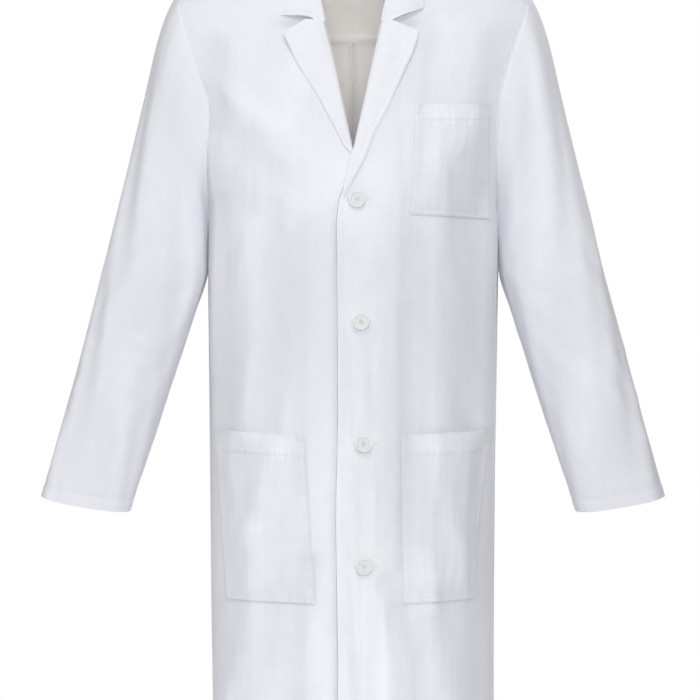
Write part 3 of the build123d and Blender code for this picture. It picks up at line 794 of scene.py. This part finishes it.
def facing_piece(name, side, inner, outer, notch, strip_out, lapel_out, mid):
    """The facing with its lapel, whose rows run from its foot to the gorge seam."""
    build = Build()
    facing_strip(build, side, mid, strip_out)
    count, cols = 96, 40
    inner_line, outer_line = resample(inner, count), resample(outer, count)
    v = np.linspace(0, 1, cols) ** 1.25
    flat = between(inner_line, outer_line, v)
    tip = outer[0]
    top = np.array([ROLL_END, GORGE, notch, tip], float)
    top_arc = arc_of(top)
    top_edge = at_places(v * top_arc[-1], top_arc, top)
    fade = np.exp(-np.linspace(0, 1, count) * 9.0)[:, None, None]
    flat = flat + (top_edge - flat[0])[None] * fade
    length = np.linalg.norm(outer_line - inner_line, axis=1)
    distance = length[:, None] * v[None, :]
    to_outer = length[:, None] * (1 - v)[None, :]
    roll_radius = np.minimum(5.0, 0.45 * length + 0.5)[:, None]
    out = mid + (lapel_out - mid) * quarter_round(distance / roll_radius)
    # The roll stands out, the edges are thick with turnings, the topstitching pulls in.
    span = np.minimum(1.0, length / 45.0)[:, None]
    out = out + 2.2 * span * bell(distance - 12, 11.0)
    out = out + 0.5 * bell(to_outer - 3.0, 2.2) - 0.35 * bell(to_outer - EDGE_STITCH, 1.2)
    out = out - 0.5 * bell(to_outer, 1.0)
    to_top = np.linspace(0, LAPEL_HEIGHT, count)[:, None]
    past_notch = smoothstep((v - 0.30) / 0.12)[None, :]
    out = out + 0.5 * bell(to_top - 3.0, 2.2) * past_notch
    out = out - 0.35 * bell(to_top - EDGE_STITCH, 1.3) * past_notch
    # The tip and the edge lift off the front, and the gorge rises to the collar.
    tip_gap = np.hypot(flat[..., 0] - tip[0], flat[..., 1] - tip[1])
    out = out + 2.2 * bell(tip_gap, 24.0) + 0.5 * bell(to_outer, 9.0)
    gorge_lift = 0.6 if side > 0 else 4.0
    out = out + gorge_lift * bell(to_top, 30.0) * (1 - 0.4 * v)[None, :]
    out = out + 0.25 * small_front(flat[..., 0] * 0.6 + 40, flat[..., 1] * 0.6)
    points = front_point(side * flat[..., 0], flat[..., 1], out)
    uv = np.stack([distance * MM + 0.3, flat[..., 1] * MM], axis=-1)
    build.shell(points, LAYER, uv, TO_FRONT, shade=1.035)
    share = 1 - EDGE_STITCH / np.maximum(length, EDGE_STITCH + 1)
    line = inner_line * (1 - share)[:, None] + outer_line * share[:, None]
    line = line[(length > EDGE_STITCH + 4) & (np.arange(count) > 4)]
    stitch_line = front_point(side * line[:, 0], line[:, 1], lapel_out - 0.25)
    return build.finish(name, CLOTH), stitch_line


left_facing, left_lapel_line = facing_piece(
    "left_facing_and_lapel", 1, LEFT_LAPEL_INNER, LEFT_LAPEL_OUTER, LEFT_NOTCH, 1.6, 5.7, 3.4)
right_facing, right_lapel_line = facing_piece(
    "right_facing_and_lapel", -1, RIGHT_LAPEL_INNER, RIGHT_LAPEL_OUTER, RIGHT_NOTCH,
    -1.7, 1.9, 0.2)


# ------------------------------------------------------------------ collar
# Height, half width and half depth of the cone that the collar's leaves lie on.
COLLAR_CONE = np.array([(-80.0, 226.0, 107.0), (-30.0, 155.0, 87.0), (26.0, 76.0, 58.0)])


def cone_point(x, z):
    w, d = (np.interp(z, COLLAR_CONE[:, 0], COLLAR_CONE[:, i]) for i in (1, 2))
    return (x, -d * math.sqrt(max(0.0, 1 - (x / w) ** 2)), z)


# The fold on top of the stand, the collar's outer edge and the stand's foot, from the back's
# middle to the left leaf.
QUARTER = np.linspace(0, math.pi / 2, 8)
COLLAR_FOLD = [(76 * math.sin(a), 58 * math.cos(a), 26.0) for a in QUARTER] + [
    (73.0, -16.0, 25.0), cone_point(61.5, 22.0), cone_point(53.0, 0.0), cone_point(45.0, -28.0),
    cone_point(40.0, -49.0), cone_point(35.2, -71.0)]
COLLAR_EDGE = [
    (0.0, 86.0, -28.0), (38.0, 82.0, -27.0), (70.0, 71.0, -23.5), (93.0, 52.0, -17.0),
    (106.0, 27.0, -9.5), (109.5, 0.0, -2.0), (109.0, -22.0, -2.5), cone_point(106.0, -12.0),
    cone_point(98.0, -33.0), cone_point(88.5, -46.0), cone_point(86.5, -57.5)]
STAND_FOOT = [(81.0 * math.sin(a), 61.0 * math.cos(a), -5.0) for a in QUARTER] + [
    (77.0, -22.0, -7.0), (66.0, -45.0, -16.0), (52.0, -70.0, -36.0), (43.0, -86.0, -58.0),
    (37.0, -96.0, -74.0)]
COLLAR_SIGMA = 1.2
RIGHT_LEAF_SPREAD = np.array([3.5, 1.0, -9.0])


def collar_fall(name, inset, thickness, material, grow=1.0):
    count, cols = 110, 30
    build = Build()
    leaves = []
    from_end = np.linspace(1, 0, count)
    for side in (1, -1):
        fold_line = resample(COLLAR_FOLD, count, COLLAR_SIGMA)
        edge_line = resample(COLLAR_EDGE, count, COLLAR_SIGMA)
        if side < 0:
            spread = smoothstep((np.linspace(0, 1, count) - 0.75) / 0.25)
            edge_line = edge_line + spread[:, None] * RIGHT_LEAF_SPREAD
        v = np.linspace(0, 1, cols) * grow
        points = between(fold_line, edge_line, v)
        # The leaf's end runs along the notch, not straight.
        notch = cone_point(48.8, -71.0) if side > 0 else cone_point(55.0, -68.5)
        top = np.array([fold_line[-1], cone_point(42.0, -70.8), notch, edge_line[-1]])
        arc = arc_of(top)
        end = at_places(v * arc[-1], arc, top)
        end[:, 2] += 0.6 - 2.0 * (1 - smoothstep((v - 0.2) / 0.12))
        points = points + (end - points[-1])[None] * np.exp(-from_end * 14.0)[:, None, None]
        out_dir = level_outward(points)
        length = np.linalg.norm(edge_line - fold_line, axis=1)[:, None]
        distance = length * v[None, :]
        bulge = 3.2 * np.sin(np.pi * v)[None, :] * np.minimum(1.0, length / 60)
        round_in = -2.4 * (1 - quarter_round(distance / 5.0))
        near_gorge = (1 - smoothstep((v - 0.25) / 0.2))[None, :]
        bulge = bulge - 2.6 * (near_gorge * np.exp(-from_end * 16.0)[:, None])
        rise = out_dir * (bulge + round_in * 0.6 - inset)[..., None]
        rise[..., 2] += bulge * 0.45 + round_in * 0.5 - inset * 0.5
        to_edge = length * (1 - v)[None, :]
        welt = 0.45 * bell(to_edge - 3.0, 2.0) - 0.3 * bell(to_edge - EDGE_STITCH, 1.2)
        rise = rise + out_dir * welt[..., None]
        points = points + rise
        points[..., 0] *= side
        along = across_rows(np.linspace(0, 0.24, count), cols) * side
        uv = np.stack([along, distance * MM], axis=-1)
        build.shell(points, thickness, uv, outward(points), shade=1.03)
        leaves.append(points)
    return build.finish(name, material), leaves


top_collar, collar_leaves = collar_fall("top_collar_cloth", 0.3, LAYER, CLOTH)
interfacing, _ = collar_fall("collar_interfacing_cloth", 1.5, 0.35, FELT, 0.94)
under_collar, _ = collar_fall("under_collar_cloth", 2.2, LAYER, CLOTH, 0.97)


def stand_piece():
    count, cols = 90, 14
    build = Build()
    v = np.linspace(0, 1, cols)
    for side in (1, -1):
        points = between(resample(COLLAR_FOLD, count, COLLAR_SIGMA),
                         resample(STAND_FOOT, count, COLLAR_SIGMA), v)
        inwards = (1.3 + 2.0 * np.sin(np.pi * v))[None, :, None]
        points = points - level_outward(points) * inwards
        points[..., 2] -= 1.4 * (1 - v)[None, :]
        points[..., 0] *= side
        uv = np.stack([across_rows(np.linspace(0, 0.2, count), cols) * side,
                       np.repeat(v[None, :] * 0.03, count, axis=0)], axis=-1)
        build.shell(points, LAYER, uv, outward(points))
    return build.finish("collar_stand_cloth", CLOTH)


collar_stand = stand_piece()


# ------------------------------------------------------------------ pockets
# Side, inner and outer edge x at top and foot, top, foot, height over the front, seed, hem band.
HIP_BAND = 26.5
HIP_SLANT = 6.0  # how much higher the outer corner of a hip pocket's opening is
POCKETS = {
    "left_hip_pocket": (1, (60.5, 60.5), (169.6, 152.0), HIP_TOP, HIP_BOTTOM, 0.0, 20, HIP_BAND),
    "right_hip_pocket": (-1, (60.4, 46.7), (171.5, 155.0), HIP_TOP, HIP_BOTTOM, 0.3, 30, HIP_BAND),
    "breast_pocket": (1, (75.6, 70.3), (171.0, 169.0), BREAST_TOP, BREAST_BOTTOM, 0.0, 40, 20.0),
}
POCKET_STITCH_ROWS = (2.2, 7.0)  # inside the pocket's edge


def pocket(name, side, inner, outer, top, bottom, base, seed, band):
    """A patch pocket: sewn down on three sides, standing off and open along the top."""
    hip = band == HIP_BAND
    slant, foot_slant, softness = (HIP_SLANT, 5.0, 1.3) if hip else (0.0, -5.0, 0.6)
    rows, cols = 96, 88
    v = np.linspace(0, 1, rows)
    u = np.linspace(0, 1, cols)
    x_in = inner[0] + (inner[1] - inner[0]) * v
    x_out = outer[0] + (outer[1] - outer[0]) * v
    x = x_in[:, None] * (1 - u)[None, :] + x_out[:, None] * u[None, :]
    z_top, z_bottom = top + slant * u, bottom + foot_slant * u
    z = z_top[None, :] * (1 - v)[:, None] + z_bottom[None, :] * v[:, None]
    pucker = waves(seed, 1.5, 22)
    soft = waves(seed + 1, 16, 26)
    to_side = np.minimum(x - x_in[:, None], x_out[:, None] - x)
    to_bottom = z - z_bottom[None, :]
    to_edge = np.minimum(to_side, to_bottom)
    puff = smoothstep(to_edge / 26.0)
    out = base + 1.15 + 3.4 * puff * (0.55 + 0.45 * (1 - v)[:, None])
    out = out + softness * soft(x + 0.5 * z, z) * puff
    ticks = 0.24 * pucker(x, z) * np.exp(-to_bottom / 12.0) * smoothstep(to_bottom / 2.5)
    ticks = ticks + 0.16 * pucker(z, x) * np.exp(-to_side / 8.0) * smoothstep(to_side / 2.5)
    seam = z_top[None, :] - z
    in_band = band - seam
    out = out - 0.75 * bell(seam - band, 1.6) + 0.35 * smoothstep(in_band / 2)
    ticks = ticks + 0.22 * pucker(x + 90, z) * np.exp(-np.abs(seam - band) / 9.0)
    out = out + ticks
    out = out - 0.7 * bell(to_edge, 1.2) + 0.15 * bell(to_edge - 3, 2)
    out = out - 0.28 * bell(to_edge - 5.6, 1.1)
    out = out + 0.5 * bell(seam, 2.0)
    out = soft_clip(out, base + 0.35, base + 9.0) + front_rise(side, x)
    points = front_point(side * x, z, out)
    thickness = 0.5 + 0.3 * smoothstep(to_edge / 4) + 0.6 * smoothstep(in_band)
    # Painted shade in the valleys of the folds and puff; the doubled band brighter; painted
    # highlight on the raised edge and the puckers' crests.
    shade = fold_shade(front_folds(side * x, z) + out - base - 3.5)
    shade = shade * (1 + 0.03 * smoothstep(in_band / 2))
    shade = shade * (1 + 0.02 * bell(to_edge - 3, 2.5) + 0.10 * ticks)
    build = Build()
    build.shell(points, thickness, np.stack([x * MM, z * MM], axis=-1), TO_FRONT, shade=shade)

    steps, across = np.linspace(0, 1, 90), 60
    flat_lines = []
    for gap in POCKET_STITCH_ROWS:
        left_x = np.interp(steps, v, x_in) + gap
        right_x = np.interp(steps, v, x_out) - gap
        left_z = top + (bottom + gap - top) * steps
        right_z = top + slant + (z_bottom[-1] + gap - top - slant) * steps
        foot = np.stack([np.linspace(left_x[-1], right_x[-1], across),
                         np.linspace(bottom + gap, z_bottom[-1] + gap, across)], axis=1)
        flat_lines += [np.stack([left_x, left_z], axis=1), np.stack([right_x, right_z], axis=1),
                       foot]
    at_band = band / (top - bottom)
    ends = np.interp(at_band, v, x_in) + 3, np.interp(at_band, v, x_out) - 3
    flat_lines.append(np.stack([np.linspace(*ends, across),
                                np.linspace(z_top[0] - band, z_top[-1] - band, across)], axis=1))
    lines = []
    for line in flat_lines:
        nearest = [np.argmin((x - px) ** 2 + (z - pz) ** 2) for px, pz in line]
        heights = gaussian_smooth(out.ravel()[nearest], 2)
        lines.append(front_point(side * line[:, 0], line[:, 1], heights))
    return build.finish(name, CLOTH), lines


pocket_pieces, pocket_lines = {}, []
for node, values in POCKETS.items():
    pocket_pieces[node], lines = pocket(f"{node}_cloth", *values)
    pocket_lines += lines


# ------------------------------------------------------------------ sleeves
SLEEVE_ROWS, SLEEVE_COLS, FINE_ROWS = 230, 132, 700
SLEEVE_SQUARE = 2 / 2.5
GIRTH_RADIUS = 62.0  # turns an angle round the sleeve into a length of cloth
PHI = np.linspace(0, 2 * math.pi, SLEEVE_COLS, endpoint=False)  # 0 outside, half a turn at the body


def sleeve_sections():
    """Fine sections from the shoulder to the cuff, and their places along the sleeve."""
    raw = np.array([[*under, *outer, depth] for under, outer, depth in SLEEVE])
    arc = arc_of((raw[:, :2] + raw[:, 2:4]) / 2)
    places = np.linspace(0, arc[-1], FINE_ROWS)
    return gaussian_smooth(at_places(places, arc, raw), FINE_ROWS / 60), places


def first_rows(xz):
    """Where each line down the sleeve leaves the armhole, as a place among the fine sections."""
    outside = xz[..., 0] - x_armhole(xz[..., 1]) + 1.6
    outside = np.where(xz[..., 1] > -20, xz[..., 0] - 217.4, outside)
    first = np.zeros(SLEEVE_COLS)
    for k in range(SLEEVE_COLS):
        inside = np.where(outside[:, k] <= 0)[0]
        last = inside[-1] if len(inside) else 0
        first[k] = last
        if last + 1 < FINE_ROWS and outside[last, k] <= 0:
            a, b = outside[last, k], outside[last + 1, k]
            first[k] = last + a / (a - b)
    first = np.clip(first, 0, FINE_ROWS - 2)
    return gaussian_smooth(np.concatenate([first] * 3), 1.5)[SLEEVE_COLS:2 * SLEEVE_COLS]


def sleeve_relief(side, seed, along, from_seam, from_cuff, total):
    """Folds and crumples of the sleeve, and how bright they make it."""
    phi = PHI[None, :]
    girth = phi * GIRTH_RADIUS
    long_folds = waves(seed, 15, 95)
    diagonal = waves(seed + 1, 11, 34)
    fine_folds = waves(seed + 2, 5, 10)
    clear = smoothstep(np.minimum(phi, 2 * math.pi - phi) / 0.5)
    growth = smoothstep(from_seam / 60.0) * (1 - 0.65 * smoothstep((along - total + 90) / 90))
    lean = girth + along * 0.22 * np.where(np.sin(phi) < 0, 1, -1)
    out = 2.6 * long_folds(lean, along) * clear
    out = out + 0.6 * diagonal(girth - along * 0.5, along) * clear * bell(along - 330, 150.0)
    crease = 1 - np.abs(waves(seed + 3, 30, 9)(girth, along + 0.35 * girth))
    out = out + 0.45 * bell(along - 360, 70.0) * clear * crease
    drag = np.sin(from_seam / 9.0 + 2.2 * np.sin(phi))
    out = out + 1.6 * bell(phi - math.pi, 0.75) * bell(from_seam - 45, 42.0) * drag
    out = out * (1 - 0.75 * bell(phi - math.pi, 0.55))
    out = out * growth + 0.10 * fine_folds(girth, along) * clear
    cap = smoothstep(from_seam / 5.0) * np.exp(-from_seam / 26.0)
    out = out + 3.0 * cap
    pucker = waves(seed + 4, 1.8, 40)
    from_stitch = from_cuff - CUFF_STITCH
    out = out - 0.6 * bell(from_stitch, 1.8) + 0.5 * smoothstep(-from_stitch / 3)
    out = out + 0.16 * pucker(girth, along) * np.exp(-np.abs(from_stitch) / 9.0)
    out = soft_clip(out, -7.0, 7.5)
    # Painted shade: valleys darker than crests, the cap kept from brightening, the left sleeve's
    # outer side darker towards the cuff.
    outer_side = bell(phi - 2 * math.pi, 0.8) + bell(phi, 0.8)
    outer_edge_shade = (9.0 if side > 0 else 0.0) * outer_side * smoothstep((along - 180) / 160)
    shade = fold_shade(out - 2.0 * cap - outer_edge_shade)
    return out, shade * (1 + 0.02 * smoothstep((CUFF_WIDTH - from_cuff) / 2))


def sleeve_piece(name, side, seed):
    table, arc = sleeve_sections()
    cos, sin = np.cos(PHI), np.sin(PHI)
    cos_s = np.sign(cos) * np.abs(cos) ** SLEEVE_SQUARE
    sin_s = np.sign(sin) * np.abs(sin) ** SLEEVE_SQUARE
    mid = (table[:, :2] + table[:, 2:4]) / 2
    across = table[:, 2:4] - table[:, :2]
    half_width = np.linalg.norm(across, axis=1) / 2
    across = across / (2 * half_width[:, None])
    xz = mid[:, None] + across[:, None] * (half_width[:, None] * cos_s[None, :])[..., None]
    grids = (xz[..., 0], table[:, 4:5] * sin_s[None, :], xz[..., 1])
    first = first_rows(xz)
    share = np.linspace(0, 1, SLEEVE_ROWS) ** 1.15
    index = first[None, :] + (FINE_ROWS - 1 - first)[None, :] * share[:, None]
    fine_index = np.arange(FINE_ROWS)
    points = np.zeros((SLEEVE_ROWS, SLEEVE_COLS, 3))
    for axis, grid in enumerate(grids):
        for k in range(SLEEVE_COLS):
            points[:, k, axis] = np.interp(index[:, k], fine_index, grid[:, k])
    along = np.interp(index, fine_index, arc)
    from_seam, from_cuff = along - along[:1], arc[-1] - along
    # The first row lies just under the coat's armhole edge, and over it at the shoulder's tip.
    start = points[0]
    across_coat = theta_of_x(np.minimum(start[:, 0], x_armhole(start[:, 2]) - 2.2), start[:, 2])
    turned = np.where(sin < 0, across_coat, math.pi - across_coat)
    depth = -1.3 + 2.1 * bell(start[:, 1], 22.0) * (start[:, 2] > -100)
    target = on_torso(side * turned, start[:, 2], depth) * np.array([side, 1.0, 1.0])
    points = points + (target - start)[None] * (1 - smoothstep(from_seam / 95.0))[..., None]
    # Outward direction of each section.
    hw, hd, ax, az = (np.interp(index, fine_index, column)
                      for column in (half_width, table[:, 4], across[:, 0], across[:, 1]))
    nx, ny = cos[None, :] / hw, sin[None, :] / hd
    size = np.hypot(nx, ny)
    nx, ny = nx / size, ny / size
    direction = np.stack([ax * nx, ny, az * nx], axis=-1)
    out, shade = sleeve_relief(side, seed, along, from_seam, from_cuff, arc[-1])
    points = points + direction * out[..., None]
    # The front of the cuff hangs lower.
    down = np.array([across[-1][1], 0.0, -across[-1][0]])
    down = down if down[2] < 0 else -down
    rim = np.clip(-sin, 0, 1)[None, :] * smoothstep((60 - from_cuff) / 60) * 6.0
    points = points + down[None, None, :] * rim[..., None]
    points[..., 0] *= side
    ref = direction * np.array([side, 1.0, 1.0])
    girth = np.repeat(PHI[None, :] * GIRTH_RADIUS, SLEEVE_ROWS, axis=0)
    thickness = LAYER + 1.1 * smoothstep((CUFF_WIDTH - from_cuff) / 1.5)
    build = Build()
    build.shell(points, thickness, np.stack([girth * MM, along * MM], axis=-1), ref, closed=True,
                shade=shade)
    ring, ring_normals = [], []
    for k in [*range(SLEEVE_COLS), 0]:
        above = from_cuff[::-1, k]
        for kept, grid in ((ring, points), (ring_normals, ref)):
            kept.append([np.interp(CUFF_STITCH, above, grid[::-1, k, i]) for i in range(3)])
    ring, ring_normals = np.array(ring), np.array(ring_normals)
    stitches = Build()
    stitches.stitches(ring + ring_normals * 0.1, ring_normals)
    return build.finish(name, CLOTH), stitches


left_sleeve, left_cuff_build = sleeve_piece("left_sleeve_cloth", 1, 50)
right_sleeve, right_cuff_build = sleeve_piece("right_sleeve_cloth", -1, 60)
left_cuff_stitches = left_cuff_build.finish("left_cuff_stitches", THREAD)
right_cuff_stitches = right_cuff_build.finish("right_cuff_stitches", THREAD)


# ------------------------------------------------------------------ seams' stitching on the coat
coat_stitches = Build()


def sew(line):
    coat_stitches.stitches(line, skin_normals(line))


z_line = np.arange(-1036.0, UNDERARM_Z, 3.0)
line = front_point(left_edge_x(z_line) + 1.0 + 7.5, z_line, 3.75)
coat_stitches.stitches(line, facing_front(len(line)))
for line in (left_lapel_line, right_lapel_line):
    coat_stitches.stitches(line, facing_front(len(line)))
for line in pocket_lines:
    coat_stitches.stitches(line, skin_normals(line), pitch=3.0)
for points in collar_leaves:
    edge = points[:, -5] * 0.4 + points[:, -6] * 0.6
    n = outward(points)[:, -5]
    coat_stitches.stitches(edge + n * 0.15, n)
    end = points[-4, 3:-4]
    coat_stitches.stitches(end + np.array([0, -0.3, 0]), np.tile([0, -1.0, 0.1], (len(end), 1)))
for side in (1, -1):
    # Round the armhole, front and back.
    z_line = np.arange(-280.0, -42.0, 3.0)
    x_line = x_armhole(z_line) - 5.5
    coat_stitches.stitches(front_point(side * x_line, z_line, 0.05),
                           skin_normals(front_point(side * x_line, z_line, 0.0)))
    sew(back_point(side, x_line, z_line, 0.05))
    # Along the hem.
    theta_hem = np.linspace(0, math.pi, 420)
    z_hem = np.full(theta_hem.shape, HEM_Z + HEM_STITCH)
    x_hem = on_torso(theta_hem, z_hem, 0.0, folded=False)[:, 0]
    on_back = np.cos(theta_hem) < 0
    keep = on_back | (x_hem > 6.0)
    lapped = (side > 0) & (x_hem < FACING_EDGE_X)
    rise = np.where(on_back, -0.3, np.where(lapped, LEFT_RISE - 0.1, -0.1))
    sew(on_torso(side * theta_hem[keep], z_hem[keep], rise[keep]))
    # Two rows over the yoke seam, one beside the centre seam and one beside the side seam.
    for gap in (1.8, 7.5):
        theta_line = np.linspace(math.pi, math.pi / 2 + 0.55, 160)
        sew(on_torso(side * theta_line, np.full(theta_line.shape, YOKE_Z + gap), 0.05))
    z_mid = np.arange(HEM_Z + 4, YOKE_Z - 2, 3.0)
    sew(back_point(side, np.full(z_mid.shape, 4.5 if side > 0 else 1.8), z_mid, 0.0))
    z_side = np.arange(HEM_Z + 4, UNDERARM_Z, 3.0)
    sew(on_torso(side * (side_theta(z_side) + 0.035), z_side, 0.0))
seam_stitches = coat_stitches.finish("seam_stitching", THREAD)

# Buttonholes: two rows of close satin stitches with a bar at each end.
HOLE_REACH, HOLE_STEP, HOLE_OFFSET = 12.6, 0.62, 1.6
hole_build = Build()


def hole_stitch(xs, zs, outs, **size):
    ends = front_point(np.array(xs), np.array(zs), np.array(outs))
    hole_build.stitches(ends, facing_front(2), **size)


for button_x, bz in BUTTONS:
    bx = button_x + HOLE_OFFSET
    for sign in (1, -1):
        for x in np.arange(bx - HOLE_REACH, bx + HOLE_REACH + 0.1, HOLE_STEP):
            hole_stitch([x, x], [bz + sign * 0.55, bz + sign * 2.3], [4.25, 4.2],
                        pitch=1.74, length=2.0, radius=0.36)
    for end in (1, -1):
        for x in (12.9, 13.4, 13.9):
            hole_stitch([bx + end * x] * 2, [bz - 2.6, bz + 2.6], [4.3, 4.3],
                        pitch=5.1, length=5.2, radius=0.34)
buttonhole_stitching = hole_build.finish("buttonhole_satin_stitching", HOLE_THREAD)

# Backstitched triangles at the pockets' upper corners.
bar_build = Build()
for side, inner, outer, top, _, base, _, band in POCKETS.values():
    for corner_x, way in ((inner[0], 1), (outer[0], -1)):
        corner_z = top + (HIP_SLANT if way < 0 and band == HIP_BAND else 0.0)
        a = (corner_x + way * 2.0, corner_z - 1.5)
        b = (corner_x + way * 9.5, corner_z - 1.5)
        c = (corner_x + way * 2.0, corner_z - 13.0)
        for ends in ((a, b), (b, c), (c, a)):
            x, z = resample(ends, 12).T
            line = front_point(side * x, z, base + 2.9 + front_rise(side, x))
            bar_build.stitches(line, skin_normals(line), pitch=2.0, length=1.9, radius=0.32)
pocket_corner_stitches = bar_build.finish("pocket_corner_stitches", THREAD)

# ------------------------------------------------------------------ hanger loop
LOOP_COUNT, LOOP_COLS = 90, 8
low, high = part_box("hanger_loop")
half_span, loop_back, loop_front = high.x / MM - 0.6, high.y / MM, low.y / MM
loop_half = [(0, loop_front + 0.9), (14, loop_front + 1.6), (half_span - 5, loop_back - 4.0),
             (half_span - 3, loop_back - 0.6), (half_span, loop_back - 0.4)]
path = resample([(-x, y) for x, y in loop_half[:0:-1]] + loop_half, LOOP_COUNT, 3)
s, v = np.linspace(0, 1, LOOP_COUNT), np.linspace(low.z / MM, high.z / MM, LOOP_COLS)
cupped = np.cos((v - v.mean()) / (v[-1] - v[0]) * math.pi)
loop_points = np.zeros((LOOP_COUNT, LOOP_COLS, 3))
loop_points[..., 0] = path[:, :1]
loop_points[..., 1] = path[:, 1:2] - 0.25 * cupped[None, :]
loop_points[..., 2] = v[None, :] - 1.2 * np.sin(np.pi * s)[:, None]
loop_uv = np.stack([across_rows(path[:, 0], LOOP_COLS) * MM,
                    np.repeat(v[None, :], LOOP_COUNT, axis=0) * MM], axis=-1)
loop_build = Build()
loop_build.shell(loop_points, 0.8, loop_uv, TO_FRONT)
hanger_loop = loop_build.finish("hanger_loop_tape", TAPE)

# ------------------------------------------------------------------ who rides on what
coat_pieces = {
    "left_front": left_front, "right_front": right_front, "back_left": back_left,
    "back_right": back_right, "back_yoke": back_yoke, "left_facing": left_facing,
    "right_facing": right_facing, "top_collar": top_collar, "collar_interfacing": interfacing,
    "under_collar": under_collar, "collar_stand": collar_stand,
    "buttonhole_stitching": buttonhole_stitching, "hanger_loop": hanger_loop, **pocket_pieces,
}
for node, obj in coat_pieces.items():
    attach(obj, "coat")
    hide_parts(node)
for obj in (seam_stitches, pocket_corner_stitches):
    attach(obj, "coat")
for side, body, obj, stitches in ((1, "left_sleeve", left_sleeve, left_cuff_stitches),
                                  (-1, "right_sleeve", right_sleeve, right_cuff_stitches)):
    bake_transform(obj)
    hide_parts(body)
    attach(stitches, body)

for number in range(1, 5):
    for node, material in ((f"button_{number}", PLASTIC), (f"button_thread_{number}", THREAD)):
        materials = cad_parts[node].data.materials
        materials.clear()
        materials.append(material)

# ------------------------------------------------------------------ floor, light and camera
low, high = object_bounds()
centre = (low + high) / 2
bpy.ops.mesh.primitive_circle_add(vertices=96, radius=0.85, fill_type="NGON",
                                  location=(0, 0, low.z - 0.012))
floor = bpy.context.object
floor.name = "floor"
floor_material, _, floor_shader = new_material("pale_floor")
floor_shader.inputs["Base Color"].default_value = (0.9, 0.9, 0.9, 1)
floor_shader.inputs["Roughness"].default_value = 0.9
floor.data.materials.append(floor_material)

# A studio that is white behind the coat and greyer all round it.
world = bpy.data.worlds.new("studio")
bpy.context.scene.world = world
world.use_nodes = True
sky = world.node_tree
direction = add_node(sky, "TexCoord").outputs["Generated"]
towards_back = add_node(sky, "SeparateXYZ", links={"Vector": direction}).outputs["Y"]
strength = map_range(sky, towards_back, from_min=0.93, from_max=0.975, to_min=0.34, to_max=1.0)
background = sky.nodes["Background"]
sky.links.new(strength, background.inputs["Strength"])
background.inputs["Color"].default_value = (1.0, 1.0, 1.0, 1)


def area_light(name, location, target, size, energy):
    data = bpy.data.lights.new(name, "AREA")
    data.shape = "SQUARE"
    data.size = size
    data.energy = energy
    obj = bpy.data.objects.new(name, data)
    obj.location = location
    obj.rotation_mode = "QUATERNION"
    obj.rotation_quaternion = (Vector(target) - Vector(location)).to_track_quat("-Z", "Y")
    bpy.context.scene.collection.objects.link(obj)
    return obj


area_light("front", (centre.x, -3.4, high.z - 0.1), centre, 0.8, 38)
area_light("high_front", (centre.x, -1.8, high.z + 1.8), centre, 0.8, 19)
area_light("left_fill", (centre.x - 3.0, -1.0, high.z), centre, 1.2, 16)
area_light("right_fill", (centre.x + 1.8, -2.8, high.z + 1.0), centre, 0.9, 10.5)
inside = area_light("inside", (0, -0.035, high.z - 0.155), (0, 0.1, high.z - 0.13), 0.10, 0.042)
inside.visible_camera = False
inside.data.color = (1.0, 0.96, 0.92)
area_light("back_fill", (centre.x + 1.0, 2.8, high.z + 1.2), centre, 1.6, 45)

VIEW_WIDTH, DISTANCE, SENSOR = 0.854, 12.0, 36.0
camera_data = bpy.data.cameras.new("camera")
camera = bpy.data.objects.new("camera", camera_data)
bpy.context.scene.collection.objects.link(camera)
camera_data.sensor_width = SENSOR
camera_data.lens = SENSOR * DISTANCE / VIEW_WIDTH
camera_data.clip_start, camera_data.clip_end = 0.1, 50
front_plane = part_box("left_front")[0].y
camera.location = (-0.0037, front_plane + 0.015 - DISTANCE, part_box("back_yoke")[1].z - 0.476)
camera.rotation_euler = (math.pi / 2, 0, 0)
bpy.context.scene.camera = camera
bpy.context.scene.view_settings.view_transform = "Standard"
